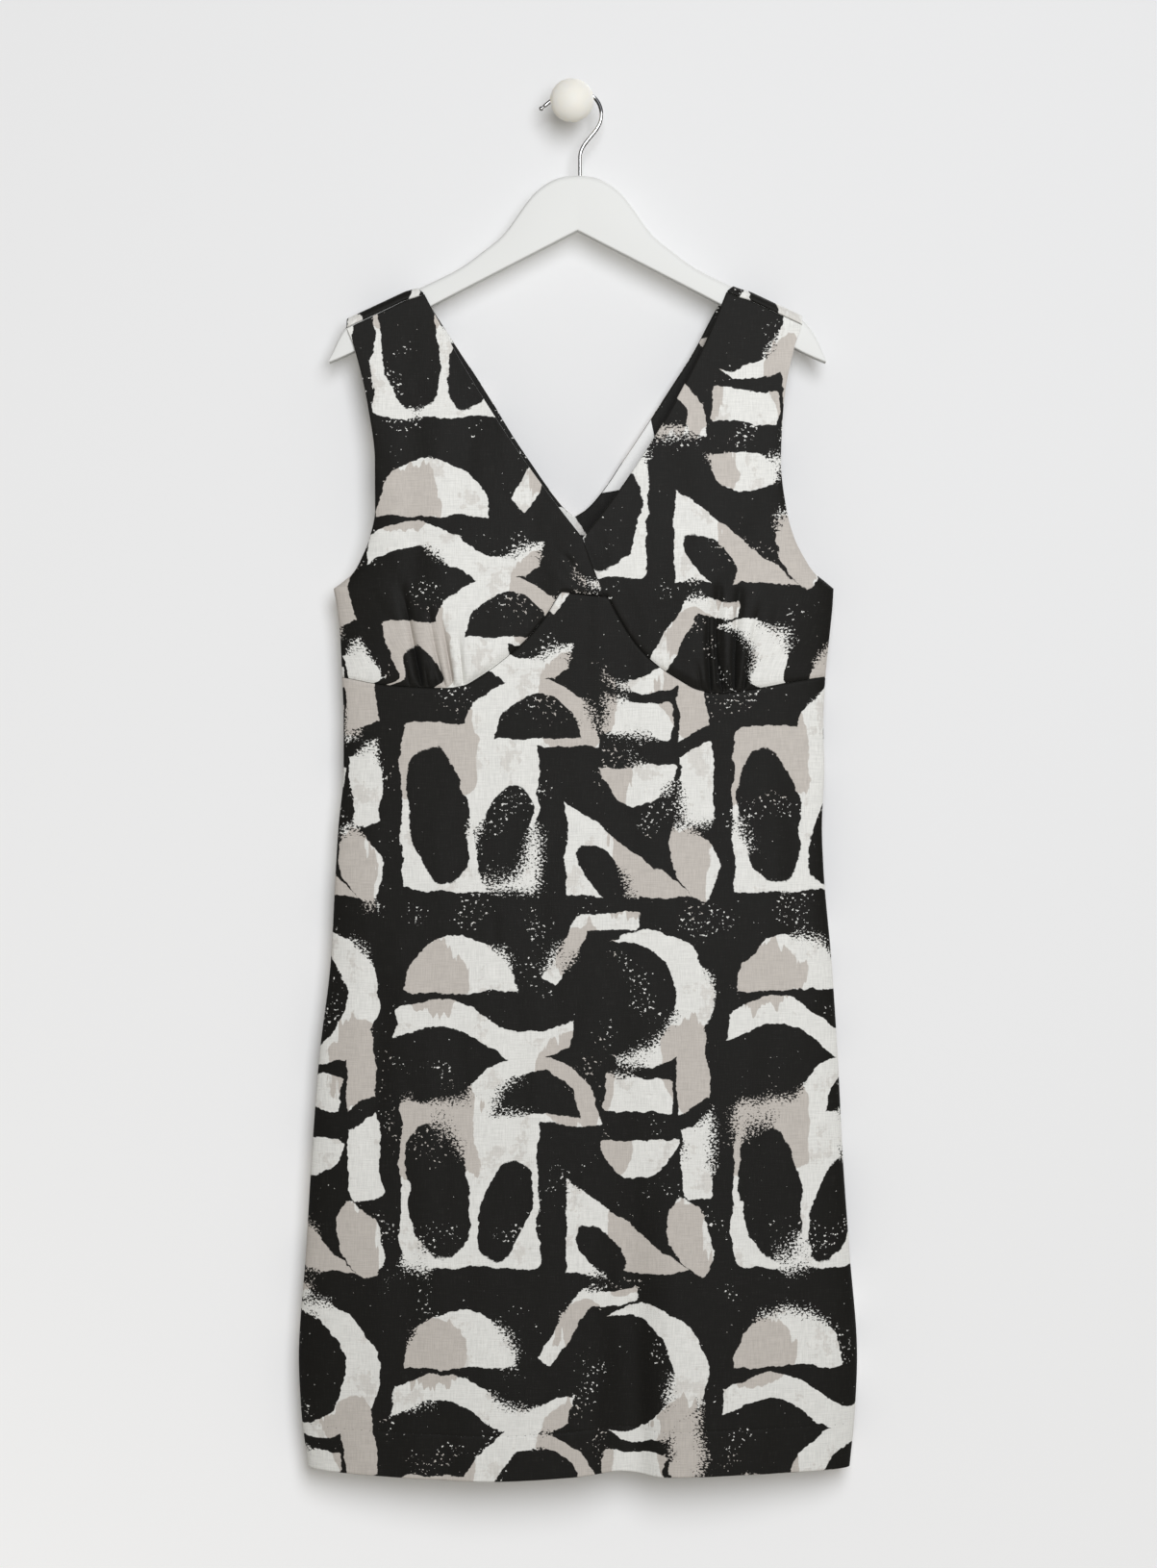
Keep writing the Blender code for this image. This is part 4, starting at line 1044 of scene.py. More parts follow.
def width_shares(size):
    """Shares of the width from side to side, fine where the cloth rolls to the side seams."""
    side = -1 + NEAR_SIDE / HALF_WIDTH
    middle = steps(side[-1], -side[-1], size / HALF_WIDTH)
    return joined(side, middle, -side[::-1])


def outline(side, low, high, count=400):
    drop = np.linspace(low, high, count)
    return np.stack([edge(side, drop), drop], axis=1)


def coons(bottom, top, start, end, share, rise):
    """Points between four edges. bottom and top are functions of a share, start and end have a
    point for each row, and share has the columns' places in each row."""
    rise = rise[:, None, None]
    u = share[..., None]
    corners = (1 - rise) * ((1 - u) * bottom(0.0) + u * bottom(1.0))
    corners = corners + rise * ((1 - u) * top(0.0) + u * top(1.0))
    ruled = (1 - rise) * bottom(share) + rise * top(share)
    return ruled + (1 - u) * start[:, None] + u * end[:, None] - corners


def bodice_rows():
    """Row places up a bodice, as shares of the part below the underarm and the part above it."""
    length, top = BODICE_LENGTHS
    low = joined(NEAR_SEAM, steps(NEAR_SEAM[-1], length, BODICE_ROWS[0])) / length
    high = joined(steps(0, top - NEAR_EDGE[-1], BODICE_ROWS[1]), top - NEAR_EDGE[::-1]) / top
    return low, high


def bodice_columns(side, length):
    """Column places along the cup seam, finest at the gathers, as shares of its width."""
    start = seam_end(side)
    width = abs(LAPS[side][0] - start)
    stops = [NEAR_SIDE[-1], *(abs(x - start) for x in GATHER_SPAN[side]), width - NEAR_EDGE[-1]]
    stretches = map(steps, stops, stops[1:], BODICE_COLUMNS)
    across_mm = joined(NEAR_SIDE, *stretches, width - NEAR_EDGE[::-1])
    share = across_mm / width
    # The turned edge keeps its size as the rows get shorter towards the shoulder.
    near = (1 - share) * width <= NEAR_EDGE[-1] + 0.01
    grown = 1 - (1 - share)[None, :] * (width / length)[:, None]
    first = np.argmax(near)
    squeeze = np.minimum(1, (grown[:, first] - 0.004) / share[first - 1])
    return np.where(near, grown, share * squeeze[:, None])


def bodice(name, side, surface, shift, sides):
    """A front bodice: cup seam, side seam and armhole, shoulder seam, neck edge and lap."""
    side_x = seam_end(side)
    end_x, half_x = LAPS[side]
    shoulder = SHOULDERS[side]

    def bottom(share):
        x = side_x + (end_x - side_x) * np.asarray(share)
        return np.stack([x, seam_drop(x)], axis=-1)

    def top(share):
        x = shoulder[0] + (shoulder[1] - shoulder[0]) * np.asarray(share)
        return np.stack([x, shoulder_seam(x) + GAP], axis=-1)

    low, high = bodice_rows()
    lap = np.array([bottom(1.0), (half_x, (bottom(1.0)[1] + FRONT_V[1]) / 2), FRONT_V])
    side_seam = along(outline(side, bottom(0.0)[1], UNDERARM), low)
    start = joined(side_seam, along(outline(side, UNDERARM, top(0.0)[1]), high))
    end = joined(along(lap, low), along(front_neck(side), high))
    rise = joined(low * LOW_SHARE, LOW_SHARE + (1 - LOW_SHARE) * high)
    length = np.linalg.norm(end - start, axis=1)
    share = bodice_columns(side, length)
    place = coons(bottom, top, start, end, share, rise)
    x, drop = place[..., 0], place[..., 1]
    x[:, 0] = edge(side, drop[:, 0])
    to_neck = (1 - share) * length[:, None]
    forward = surface(x, drop) - turned_edge(to_neck) - seam_dip(seam_drop(x) - drop)
    forward -= seam_dip(drop - shoulder_seam(x) - GAP, deep=0.5, wide=1.2)
    tip = section["front_edge"](drop[:, 0]) + GAP / 2
    x, drop, forward = with_strip((x, drop, forward), tip, True, False)
    flat = flat_place(flat_x(surface)(x, drop), drop, shift)
    return cloth(name, [(point(x, drop, forward), flat)], (0, -1, 0), CLOTH, sides)


def between(upper, lower, count):
    """Rows that part the space between two rows evenly, without these two."""
    return upper + (lower - upper) * np.linspace(0, 1, count + 1)[1:-1, None]


def skirt_grid():
    """x and drop of the front skirt, from the cup seam to the hem."""
    share = width_shares(SKIRT_COLUMNS)
    top_x = np.interp(share, (-1, 1), (seam_end("left"), seam_end("right")))
    slope = seam_drop(top_x + 0.5) - seam_drop(top_x - 0.5)
    top = seam_drop(top_x) + GAP * np.sqrt(1 + slope**2)
    hem = hem_drop(x_at(share, HEM_SIDE))
    upper = top[None, :] + NEAR_SEAM[:, None]
    stitch = hem[None, :] - HEM_DEEP + NEAR_HEM_STITCH[:, None]
    lowest = hem[None, :] - NEAR_HEM[::-1][:, None]
    middle = between(upper[-1:], stitch[:1], SKIRT_ROWS[0])
    turn_up = between(stitch[-1:], lowest[:1], SKIRT_ROWS[1])
    drop = np.concatenate([upper, middle, stitch, turn_up, lowest])
    # Columns start out at their places on the cup seam and run down at the same share of width.
    at_seam = across(top_x, seam_drop(top_x))
    return x_at(at_seam, drop), drop


def skirt_front(sides):
    x, drop = skirt_grid()
    to_hem = drop[-1:] - drop
    to_seam = drop - seam_drop(x)
    forward = skirt_forward(x, drop) - seam_dip(to_seam) - turned_edge(to_hem, HEM_ROLL)
    tip = section["front_edge"](drop[:, 0]) + GAP / 2
    x, drop, forward = with_strip((x, drop, forward), tip, True, True)
    flat = flat_place(flat_x(skirt_forward)(x, drop), drop, PRINT_SHIFT["skirt"])
    grids = [(point(x, drop, forward), flat)]
    return cloth("dress_skirt_front", grids, (0, -1, 0), CLOTH, sides)


def back_hem_drop(x):
    return np.full(np.shape(x), HEM_SIDE)


def hem_turn_up(name, surface, hem_at, inward, shift, sides):
    """The hem's allowance, turned up inside and caught at its upper edge."""
    share = width_shares(TURN_UP_STEP)[TURN_UP_SHORT:-TURN_UP_SHORT]
    low = hem_at(x_at(share, HEM_SIDE))
    depth = TURN_UP_ROWS[:, None]
    drop = low[None, :] - depth
    x = x_at(share, drop)
    start, away = TURN_UP_AWAY
    lift = turned_edge(depth, HEM_ROLL) + start + (away - start) * ease(depth / TURN_UP_RUN)
    forward = surface(x, drop) + inward * lift
    flat = flat_place(x, drop + 2 * depth, shift)
    grids = [(point(x, drop, forward), flat)]
    return cloth(name, grids, (0, -inward, 0), TURN_UP_CLOTH, sides)


def beside_v(side, share):
    """The back beside the neck V, up the hanger's rear: its x, drop and forward, and for the
    last row the columns' places from 0 to 1 and how far each is from the neck's edge."""
    spread = (share - share[0]) / (share[-1] - share[0])
    shoulder = SHOULDERS[side]
    v_row = BACK_V[1]

    def bottom(u):
        at = share[0] + (share[-1] - share[0]) * np.asarray(u)
        return np.stack([x_at(at, v_row), np.full(np.shape(at), v_row)], axis=-1)

    def top(u):
        x = shoulder[0] + (shoulder[1] - shoulder[0]) * np.asarray(u)
        return np.stack([x, ridge(x) + WRAP_HEIGHT], axis=-1)

    rise = steps(0, 1, 1 / ARM_ROWS)
    start = along(outline(side, v_row, top(0.0)[1]), rise)
    drop = np.linspace(v_row, top(1.0)[1], 300)
    end = along(np.stack([back_neck[side](drop), drop], axis=1), rise)
    length = np.linalg.norm(end - start, axis=1)
    place = coons(bottom, top, start, end, np.broadcast_to(spread, (len(rise), len(spread))), rise)
    x, drop = place[..., 0], place[..., 1]
    x[:, 0] = edge(side, drop[:, 0])
    to_neck = (1 - spread)[None, :] * length[:, None]
    forward = back_forward(x, drop) + turned_edge(to_neck) * ease((v_row - drop) / CURL_FROM)
    tip = section["back_edge"](drop[:, 0]) - GAP / 2
    return with_strip((x, drop, forward), tip, True, False), spread, to_neck[-1]


def over_arm(rear, spread, to_neck):
    """The back's wrap from its last row behind the hanger's arm over to the shoulder seam, and
    the same rows' drop on the flat cloth."""
    first_x, first_drop, first_forward = (grid[-1:] for grid in rear)
    turn = np.linspace(0, math.pi, OVER_ROWS)[:, None]
    middle, reach = (SHOULDER_BACK + SHOULDER_FRONT) / 2, (SHOULDER_FRONT - SHOULDER_BACK) / 2
    lean = np.append(0.0, math.copysign(NECK_LEAN, first_x[0, -1]) * ease((spread - 0.5) / 0.5))
    inward = turned_edge(np.append(to_neck[0], to_neck))
    inward[0] += STRIP - GAP / 2
    x = first_x + lean * np.sin(turn)
    drop = ridge(x) + WRAP_HEIGHT * (1 - np.sin(turn)) + inward * np.sin(turn)
    forward = middle - reach * np.cos(turn) + inward * np.cos(turn)
    drop[0], forward[0] = first_drop[0], first_forward[0]
    x = np.concatenate([x, x[-1:]])
    drop = np.concatenate([drop, drop[-1:] + WRAP_TAIL])
    forward = np.concatenate([forward, forward[-1:]])
    run = np.hypot(np.diff(drop, axis=0), np.diff(forward, axis=0))
    flat_drop = first_drop - np.concatenate([0 * run[:1], np.cumsum(run, axis=0)])
    forward[-1] -= OVER_TUCK
    return (x, drop, forward), flat_drop


def back_shares():
    """Shares of the width on each side of the back V, fine at the side and at the V."""
    at_v = float(across(*map(np.array, BACK_V)))
    size = BACK_COLUMNS / BACK_HALF_WIDTH
    side, near_v = -1 + NEAR_SIDE / BACK_HALF_WIDTH, NEAR_EDGE[::-1] / BACK_HALF_WIDTH
    left = joined(side, steps(side[-1], at_v - near_v[0], size), at_v - near_v)
    right = joined(-side, steps(-side[-1], at_v + near_v[0], size), at_v + near_v)
    return left, right


def back(sides):
    """The back in one panel, from the hem to the shoulder seams at the front of the arms."""
    left, right = back_shares()
    share = np.concatenate([left, right[-2::-1]])
    stitch = HEM_SIDE - HEM_DEEP + NEAR_HEM_STITCH[::-1]
    drops = joined(
        HEM_SIDE - NEAR_HEM,
        steps(HEM_SIDE - NEAR_HEM[-1], stitch[0], BACK_ROWS[0]),
        stitch,
        steps(stitch[-1], UNDERARM, BACK_ROWS[1]),
        steps(UNDERARM, BACK_V[1], BACK_ROWS[2]),
    )[:, None]
    x = x_at(share, drops)
    drop = drops + 0 * x
    forward = back_forward(x, drop) + turned_edge(HEM_SIDE - drop, HEM_ROLL)
    tip = section["back_edge"](drops[:, 0]) - GAP / 2
    main = with_strip((x, drop, forward), tip, True, True)
    shift = PRINT_SHIFT["back"]
    flat_run = flat_x(back_forward)
    grids = [(point(*main), flat_place(flat_run(main[0], main[1]), main[1], shift))]
    for side, shares in (("left", left), ("right", right)):
        rear, *last_row = beside_v(side, shares)
        wrap, flat_drop = over_arm(rear, *last_row)
        for (x, drop, forward), laid in ((rear, rear[1]), (wrap, flat_drop)):
            flat = flat_place(flat_run(x, np.minimum(drop, laid)), laid, shift)
            grids.append((point(x, drop, forward), flat))
    return cloth("dress_back", grids, (0, 1, 0), CLOTH, sides)


def back_neck_edge():
    """The back neck from the left shoulder round the V to the right, as x and drop."""
    drop = np.linspace(FACING_TOP, BACK_V[1], 240)
    left = np.stack([back_neck["left"](drop), drop], axis=1)
    right = np.stack([back_neck["right"](drop), drop], axis=1)[::-1]
    return np.concatenate([left, right[1:]])


def beside_neck(share, depth):
    """The place this deep below the back neck's edge, square to it."""
    here = along(back_neck_edge(), share)
    reach = (NECK_REACH, -NECK_REACH)
    ahead, behind = (along(back_neck_edge(), np.clip(share + d, 0, 1)) for d in reach)
    way = ahead - behind
    way /= np.linalg.norm(way, axis=-1, keepdims=True)
    away = np.stack([-way[..., 1], way[..., 0]], axis=-1)
    return here + away * np.asarray(depth)[..., None]


def back_neck_facing(sides):
    """A band of the dress cloth inside the back neck, turned under at its free edge."""
    share = np.linspace(0, 1, FACING_COLUMNS)[None, :]
    middle = steps(GAP + NEAR_EDGE[-1], FACING_DEPTH - NEAR_EDGE[-1], FACING_STEP)
    depth = joined(GAP + NEAR_EDGE, middle, FACING_DEPTH - NEAR_EDGE[::-1])[:, None]
    share, depth = np.broadcast_arrays(share, depth)
    place = beside_neck(share, depth)
    x, drop = place[..., 0], place[..., 1]
    forward = back_base(x, drop) + CAD_WALL + GAP + CAD_THIN
    upper, lower = FACING_ROLLS
    forward -= turned_edge(depth - GAP, upper) + turned_edge(FACING_DEPTH - depth, lower)
    flat = flat_place(x, drop, PRINT_SHIFT["facing"])
    grids = [(point(x, drop, forward), flat)]
    return cloth("dress_neck_facing", grids, (0, -1, 0), FACING_CLOTH, sides)


def label_place(along_mm, depth):
    """x, drop and forward of a place on the label: along its long side, and down from it."""
    edge_line = back_neck_edge()
    run = np.linalg.norm(np.diff(edge_line, axis=0), axis=1).sum()
    first = np.argmin(np.linalg.norm(edge_line - np.array(LABEL_FROM), axis=1))
    start = np.linalg.norm(np.diff(edge_line[: first + 1], axis=0), axis=1).sum()
    depth = np.broadcast_to(depth, along_mm.shape)
    place = beside_neck((start + along_mm) / run, depth + 2 * GAP)
    forward = back_base(place[..., 0], place[..., 1]) + CAD_WALL + 2 * GAP + 2 * CAD_THIN
    return place[..., 0], place[..., 1], forward


def neck_label(face):
    """A plain woven label with mitred ends, along the back neck's right edge."""
    ends = (LABEL_EDGE[-1], LABEL_DEEP - LABEL_EDGE[-1])
    depth = joined(LABEL_EDGE, steps(*ends, LABEL_STEP), LABEL_DEEP - LABEL_EDGE[::-1])[:, None]
    spread = np.linspace(0, 1, LABEL_COLUMNS)[None, :]
    run = depth + (LABEL_LONG - 2 * depth) * spread
    x, drop, forward = label_place(run, depth)
    roll = turned_edge(depth, LABEL_ROLL), turned_edge(LABEL_DEEP - depth, LABEL_ROLL)
    forward = forward - roll[0] - roll[1]
    high, long = LABEL_WAVE
    forward = forward + high * np.sin(run / long) * ease(depth / LABEL_WAVE_FROM)
    flat = np.stack([run, depth + 0 * run], axis=-1) * MM
    grids = [(point(x, drop, forward), flat)]
    return cloth("neck_label_woven", grids, (0, -1, 0), LABEL_CLOTH, (face, face))


def stitches(name, ends, radius, material_):
    """Short stitches of thread, each a small six-sided bead between two ends, in world metres."""
    work = bmesh.new()
    for start, end in ends:
        start, end = Vector(start), Vector(end)
        way = end - start
        turn = Vector((0, 0, 1)).rotation_difference(way.normalized())
        made = bmesh.ops.create_uvsphere(work, u_segments=6, v_segments=4, radius=1)
        for vert in made["verts"]:
            x, y, z = vert.co
            vert.co = turn @ Vector((x * radius, y * radius, z * way.length / 2)) + (start + end) / 2
    mesh = bpy.data.meshes.new(name)
    work.to_mesh(mesh)
    work.free()
    mesh.shade_smooth()
    return shown(name, mesh, material_)


def hem_stitches(name, surface, hem_at, outward, dark):
    """Blind-hem stitches: tiny pricks of thread that catch the outside every few mm."""
    ends = []
    for share in np.arange(-HEM_STITCH_END, HEM_STITCH_END + 0.001, HEM_STITCH_PITCH):
        drop = float(hem_at(x_at(share, HEM_SIDE))) - HEM_DEEP
        x = float(x_at(share, drop))
        pair = []
        for dx in (-HEM_STITCH_HALF, HEM_STITCH_HALF):
            forward = float(surface(np.array(x + dx), np.array(drop)))
            pair.append(point(x + dx, drop, forward + outward * HEM_STITCH_PROUD))
        ends.append(pair)
    return stitches(name, ends, HEM_THREAD * MM, dark)


def label_stitches(light):
    """White stitches along the label's upper and lower edges."""
    ends = []
    for depth in (LABEL_STITCH_IN, LABEL_DEEP - LABEL_STITCH_IN):
        corner = depth + LABEL_STITCH_END
        for run in np.arange(corner, LABEL_LONG - corner, LABEL_STITCH_PITCH):
            runs = np.array([run, run + LABEL_STITCH_LONG])
            x, drop, forward = label_place(runs, np.array([depth, depth]))
            ends.append(list(point(x, drop, forward + LABEL_STITCH_PROUD)))
    return stitches("neck_label_stitches", ends, LABEL_THREAD * MM, light)


# ---------------------------------------------------------------- what holds it


def rounded_ring(top, bottom, count=7):
    """A rounded rectangle across the hanger, as forward and drop offsets."""
    most = ROUND_MOST * (bottom - top)
    above, below = min(HANGER_ROUND, most), min(HANGER_KEEN, most)
    ring = []
    for turn, radius, forward, drop in (
        (0, below, HANGER_HALF - below, bottom - below),
        (90, below, below - HANGER_HALF, bottom - below),
        (180, above, above - HANGER_HALF, top + above),
        (270, above, HANGER_HALF - above, top + above),
    ):
        for angle in np.radians(turn + np.linspace(0, 90, count)):
            ring.append((forward + radius * math.cos(angle), drop + radius * math.sin(angle)))
    return np.array(ring)


def hanger(paint):
    """The hanger's body, a loft of rounded sections from one end to the other."""
    top = column(HANGER_OUTLINE, "top", "x")
    # The underside meets in a corner at the middle, so its curve starts there.
    bottom = smooth(HANGER_OUTLINE["x"][1:], HANGER_OUTLINE["bottom"][1:])
    tip = HANGER_OUTLINE["x"][-1]
    rings = []
    for turn in np.linspace(-math.pi / 2, math.pi / 2, HANGER_SECTIONS):
        x = tip * math.copysign(abs(math.sin(turn)) ** HANGER_BUNCH, turn)
        ring = rounded_ring(top(abs(x)), bottom(abs(x)))
        rings.append(point(x, ring[:, 1], HANGER_FORWARD + ring[:, 0]))
    work = bmesh.new()
    verts = [[work.verts.new(p) for p in ring] for ring in rings]
    for low, high in zip(verts, verts[1:]):
        for i in range(len(low)):
            work.faces.new((low[i - 1], low[i], high[i], high[i - 1]))
    work.faces.new(verts[0])
    work.faces.new(verts[-1][::-1])
    bmesh.ops.recalc_face_normals(work, faces=work.faces)
    mesh = bpy.data.meshes.new("hanger")
    work.to_mesh(mesh)
    work.free()
    mesh.shade_smooth()
    mesh.set_sharp_from_angle(angle=math.radians(HANGER_SHARP))
    return shown("hanger_painted", mesh, paint)


def hook_route():
    """The wire from the bottom of its hole, up an S-bend, over the top and out to its tip."""
    tight, slack = HOOK_RADII
    first, last = (math.radians(a) for a in HOOK_ARC)
    arc = []
    for angle in np.linspace(first, last, 70):
        radius = tight if angle < math.pi / 2 else slack
        middle = HOOK_CENTRE[1] + radius - tight
        arc.append((HOOK_CENTRE[0] + radius * math.cos(angle), middle - radius * math.sin(angle)))
    foot = np.array([SHANK_X, -BEND_FOOT])
    rise = np.array([0.0, -BEND_HANDLES[0]])
    join = np.array(arc[0])
    lean = BEND_HANDLES[1] * np.array([math.sin(first), math.cos(first)])
    route = [(SHANK_X, SHANK_DEEP), (SHANK_X, 0.0), (SHANK_X, -SHANK_RISE)]
    for t in np.linspace(0, 1, 24)[:-1]:
        a, b, c, d = (1 - t) ** 3, 3 * t * (1 - t) ** 2, 3 * t * t * (1 - t), t**3
        route.append(tuple(a * foot + b * (foot + rise) + c * (join + lean) + d * join))
    route += arc
    for t in joined(steps(0, 0.7, 0.1), 1 - 0.3 * np.cos(steps(0, math.pi / 2, 0.14)))[1:]:
        route.append(tuple((1 - t) * np.array(arc[-1]) + t * np.array(HOOK_TIP)))
    return np.array(route)


def hook(plating):
    """The wire as a tube that closes in a small round bead at its tip."""
    route = hook_route()
    places = point(route[:, 0], route[:, 1], HANGER_FORWARD)
    way = np.gradient(places, axis=0)
    way /= np.linalg.norm(way, axis=1, keepdims=True)
    side = np.array([0.0, 1.0, 0.0])
    up = np.cross(way, side)
    radius = np.full(len(places), WIRE)
    bead = WIRE * TIP_SWELL
    tail = np.linalg.norm(places - places[-1], axis=1) / MM
    round_ = np.sqrt(np.clip(bead**2 - (tail - bead) ** 2, 0.01, None))
    neck = WIRE * (1 - (1 - TIP_NECK) * np.exp(-(((tail - 2 * bead) / TIP_NECK_HALF) ** 2)))
    radius = np.where(tail > bead, np.maximum(round_ * (tail < 2 * bead), neck), round_)
    angle = np.linspace(0, 2 * math.pi, 25)
    ring = np.cos(angle)[None, :, None] * side + np.sin(angle)[None, :, None] * up[:, None]
    tube = places[:, None] + ring * radius[:, None, None] * MM
    run = np.concatenate([[0], np.cumsum(np.linalg.norm(np.diff(places, axis=0), axis=1))])
    flat = np.stack([run, 0 * run], axis=-1)[:, None]
    mesh = welded("hanger_hook_wire", [(tube, flat)], (0, 0, 0))
    return shown("hanger_hook_chrome", mesh, plating)


def knob(paint):
    """The knob, turned about Y, with a round face from its widest ring on."""
    widest = np.argmax(KNOB["radius"])
    deep, radius = KNOB["forward"][widest], KNOB["radius"][widest]
    neck = steps(0, deep, 0.5)
    bow = steps(0, math.pi / 2, 0.06)
    face = deep + (KNOB["forward"][-1] - deep) * np.sin(bow)
    forward = joined(neck, face)
    across_ = joined(column(KNOB, "radius", "forward")(neck), radius * np.cos(bow) ** KNOB_FLAT)
    forward, across_ = np.append(0.0, forward), np.append(0.0, across_)
    angle = np.linspace(0, 2 * math.pi, 97)
    x, z = across_[:, None] * np.cos(angle), across_[:, None] * np.sin(angle)
    grid = np.stack([x, np.broadcast_to(-forward[:, None], x.shape), z], axis=-1) * MM
    mesh = welded("wall_knob_turned", [(grid, np.zeros((*x.shape, 2)))], (0, 0, 0))
    mesh.set_sharp_from_angle(angle=math.radians(KNOB_SHARP))
    return shown("wall_knob_lacquered", mesh, paint)


# ---------------------------------------------------------------- stage, camera and light

PHOTO = (1203, 1630)  # pixels
PIXEL = 0.86  # mm, on the plane that the hanger hangs in
CAMERA_AWAY = 2600.0
CAMERA_X = 0.86
CAMERA_DROP = 543.95

# The tall softbox: its place, what it faces, its width and height, in metres, and its power.
KEY = ((0.48, -2.55, 0.30), (0.0, 0.0, -0.60), (1.5, 2.1), 65.0)
KEY_TINT = (0.929, 0.952, 1.0)
ROOM_TINT = (1.0, 0.963, 0.885)
# Light on the back: azimuth from the front, elevation and spread in degrees, and strength.
REAR = (150.0, 30.0, 60.0, 1.6)
ROOM_FRONT = 0.34
ROOM_BEHIND = 0.06
ROOM_TOP = 0.35
ROOM_BELOW = 0.18  # its pale floor
# The wall's left, right, bottom and top, how far it stands behind the knob, and the half width
# of the floor, in metres.
WALL = (-2.6, 2.6, -1.75, 1.3)
WALL_BEHIND = 0.0004
FLOOR_HALF = 6.0
WALL_GLOW = 0.07  # light that the wall gets back from the rest of the room
WALL_SHADE = 0.738
# How the softbox's light changes over the wall, to the right and upward from this height.
LIT_MIDDLE = -0.6
LIT_ACROSS = (0.108, -0.1020)
LIT_UPWARD = (0.195, -0.087)
LIT_LEAST = 0.7
# How the room's light changes with a direction's y or z: where each change starts and ends.
ROOM_TURN = (-0.30, 0.20)
TOP_TURN = (0.45, 0.95)
FLOOR_TURN = (-0.30, -0.75)


def around(a, b):
    """The four corners of a rectangle from its two sides' ends, in turn."""
    return [(a[0], b[0]), (a[1], b[0]), (a[1], b[1]), (a[0], b[1])]


def stage_plane(name, corners, look):
    mesh = bpy.data.meshes.new(name)
    mesh.from_pydata(corners, [], [(0, 1, 2, 3)])
    plane = shown(name, mesh, look)
    return plane


def stage_paint(name, colour):
    made, sheet, shader = material(name)
    sheet.fill(shader, {"Base Color": colour, "Roughness": 1.0, "Specular IOR Level": 0.0})
    return made, sheet, shader


def even_wall():
    """A wall painted a little darker where more of the softbox's light falls, so that it looks
    evenly lit. It is clear from behind."""
    made, sheet, shader = stage_paint("stage_wall", (1, 1, 1, 1))
    x, _, height = sheet.split(sheet.on_object())
    z = height - LIT_MIDDLE
    across_ = x * x.times_add(LIT_ACROSS[1], LIT_ACROSS[0])
    upward = z * z.times_add(LIT_UPWARD[1], LIT_UPWARD[0])
    shade = WALL_SHADE / (across_ + upward + 1.0).highest(LIT_LEAST)
    sheet.fill(shader, {
        "Base Color": sheet.join(shade, shade, shade),
        "Emission Color": (*ROOM_TINT, 1), "Emission Strength": WALL_GLOW,
    })
    clear = sheet.put("ShaderNodeBsdfTransparent")
    rear = sheet.put("ShaderNodeNewGeometry", out=6)
    solid = Field(sheet, shader.outputs[0])
    mixed = sheet.put("ShaderNodeMixShader", {0: rear, 1: solid, 2: clear})
    sheet.fill(made.node_tree.nodes["Material Output"], {0: mixed})
    return made


def stage():
    """A pale wall that is clear from behind, and a pale floor."""
    floor_paint, *_ = stage_paint("stage_floor", (0.78, 0.78, 0.77, 1))
    corners = [(x, WALL_BEHIND, z) for x, z in around(WALL[:2], WALL[2:])]
    wall = stage_plane("stage_wall", corners, even_wall())
    wall.visible_glossy = False
    wall.visible_shadow = False
    ends = (-FLOOR_HALF, FLOOR_HALF)
    corners = [(x, y, WALL[2]) for x, y in around(ends, ends)]
    floor = stage_plane("stage_floor", corners, floor_paint)
    floor.visible_diffuse = False
    floor.visible_glossy = False


def softbox(name, place, target, sizes, power, tint):
    data = bpy.data.lights.new(name, "AREA")
    data.shape = "ELLIPSE"
    data.size, data.size_y = sizes
    data.energy = power
    data.color = tint
    box = bpy.data.objects.new(name, data)
    box.location = place
    box.rotation_euler = (Vector(target) - Vector(place)).to_track_quat("-Z", "Y").to_euler()
    bpy.context.scene.collection.objects.link(box)


def soft_sun(name, azimuth, elevation, spread, strength):
    """Even light from a wide disc in this direction, in degrees, seen from the garment."""
    data = bpy.data.lights.new(name, "SUN")
    data.energy = strength
    data.angle = math.radians(spread)
    sun = bpy.data.objects.new(name, data)
    sun.rotation_euler = (math.radians(90 - elevation), 0, math.radians(azimuth))
    bpy.context.scene.collection.objects.link(sun)


def studio():
    """Soft light from the room in front and the floor, and a darker room behind and overhead."""
    world = bpy.data.worlds.new("studio")
    world.use_nodes = True
    sheet = Sheet(world.node_tree)
    _, back_way, up = sheet.split(sheet.put("ShaderNodeTexCoord"))
    front = sheet.step(back_way, *ROOM_TURN, ROOM_FRONT, ROOM_BEHIND)
    low = sheet.step(up, *TOP_TURN, 1.0, ROOM_TOP)
    floor = sheet.step(up, *FLOOR_TURN, 0.0, ROOM_BELOW)
    values = {"Strength": front.times_add(low, floor), "Color": (*ROOM_TINT, 1)}
    sheet.fill(world.node_tree.nodes["Background"], values)
    bpy.context.scene.world = world


def light():
    studio()
    softbox("key", *KEY, KEY_TINT)
    soft_sun("rear", *REAR)
    bpy.context.scene.view_settings.view_transform = "Standard"
    bpy.context.scene.view_settings.look = "None"


def camera():
    data = bpy.data.cameras.new("camera")
    data.sensor_fit = "VERTICAL"
    data.sensor_height = data.sensor_width
    data.lens = data.sensor_height * CAMERA_AWAY / (PHOTO[1] * PIXEL)
    obj = bpy.data.objects.new("camera", data)
    obj.location = point(CAMERA_X, CAMERA_DROP, HANGER_FORWARD + CAMERA_AWAY)
    obj.rotation_euler = (math.radians(90), 0, 0)
    bpy.context.scene.collection.objects.link(obj)
    bpy.context.scene.camera = obj


# ---------------------------------------------------------------- putting it together


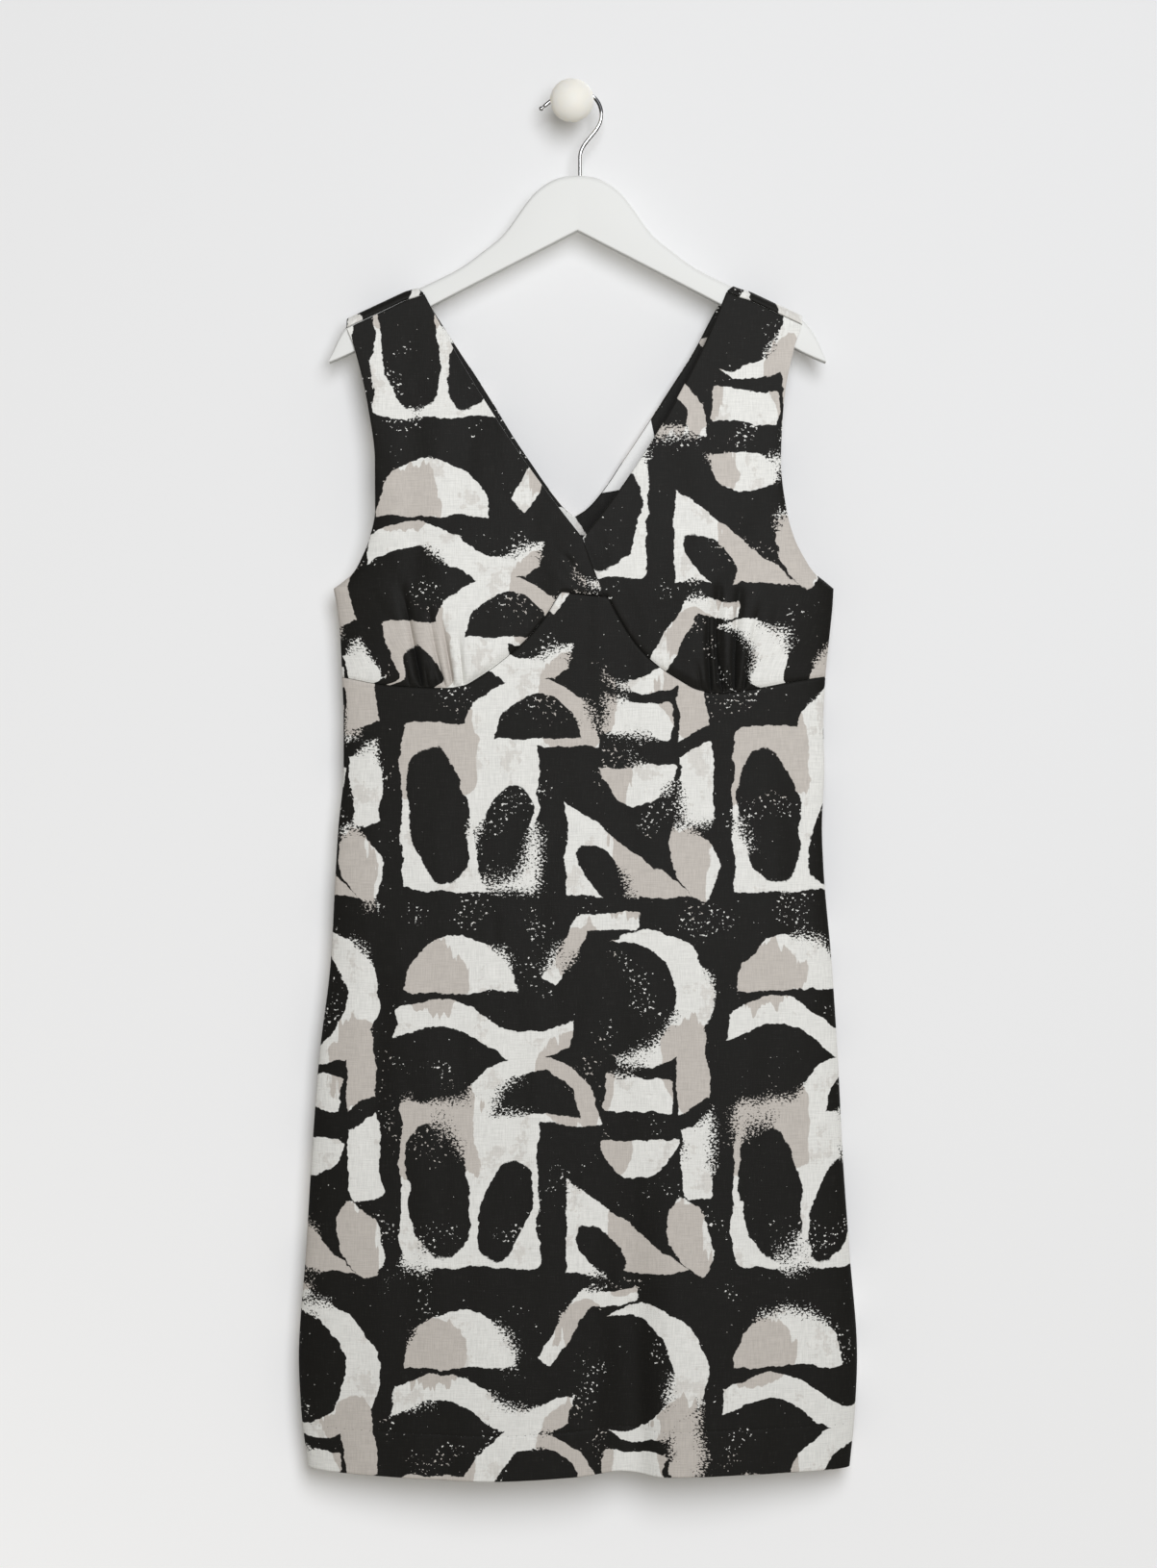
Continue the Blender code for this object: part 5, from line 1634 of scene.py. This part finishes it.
def fit(piece, slot, *nodes):
    """The piece rides with the part and stands for CAD nodes, which are hidden. slot is not used."""
    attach(piece, "root")
    if nodes:
        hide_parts(*nodes)


def dress():
    pattern = print_group()
    right_side = print_cloth("print_cloth", pattern)
    wrong_side = print_cloth("print_cloth_reverse", pattern, 0.35)
    dark_cut = print_cloth("print_cloth_facing", pattern, spread=11.0)
    dark = thread("dark_thread", (0.012, 0.012, 0.011, 1), (0.05, 0.05, 0.047, 1))
    light_thread = thread("white_thread", (0.70, 0.70, 0.68, 1), (0.86, 0.86, 0.84, 1))
    sides, inside_out = (right_side, wrong_side), (wrong_side, right_side)
    shift = PRINT_SHIFT

    over = bodice("dress_bodice_right", "left", lapped_forward, shift["bodice_left"], sides)
    under = bodice("dress_bodice_left", "right", bodice_forward, shift["bodice_right"], sides)
    skirt = skirt_front(sides)
    rear = back(sides)
    facing = back_neck_facing((dark_cut, wrong_side))
    label = neck_label(woven_label())
    front = ("front", skirt_forward, hem_drop, -1, shift["skirt"])
    behind = ("back", back_forward, back_hem_drop, 1, shift["back"])
    turn_ups, pricks = [], []
    for name, surface, hem_at, inward, moved in (front, behind):
        turn_up = hem_turn_up(f"dress_hem_{name}", surface, hem_at, inward, moved, inside_out)
        turn_ups.append(turn_up)
    for name, surface, hem_at, inward, _ in (front, behind):
        pricks.append(hem_stitches(f"hem_stitches_{name}", surface, hem_at, -inward, dark))
    label_sewing = label_stitches(light_thread)

    fit(over, "print_cloth", "bodice_front_right")
    fit(under, "print_cloth", "bodice_front_left")
    fit(skirt, "print_cloth", "skirt_front")
    fit(rear, "print_cloth", "back")
    fit(facing, "print_cloth", "back_neck_facing")
    fit(label, "label_cloth", "neck_label")
    for piece in (*turn_ups, *pricks):
        fit(piece, "print_cloth")
    fit(label_sewing, "label_cloth")


def main():
    camera()
    dress()
    for piece, slot, node in (
        (hanger(painted_wood()), "painted_wood", "hanger_body"),
        (hook(chrome()), "chrome", "hanger_hook"),
        (knob(knob_paint()), "knob_paint", "wall_knob"),
    ):
        fit(piece, slot, node)
    stage()
    light()


main()
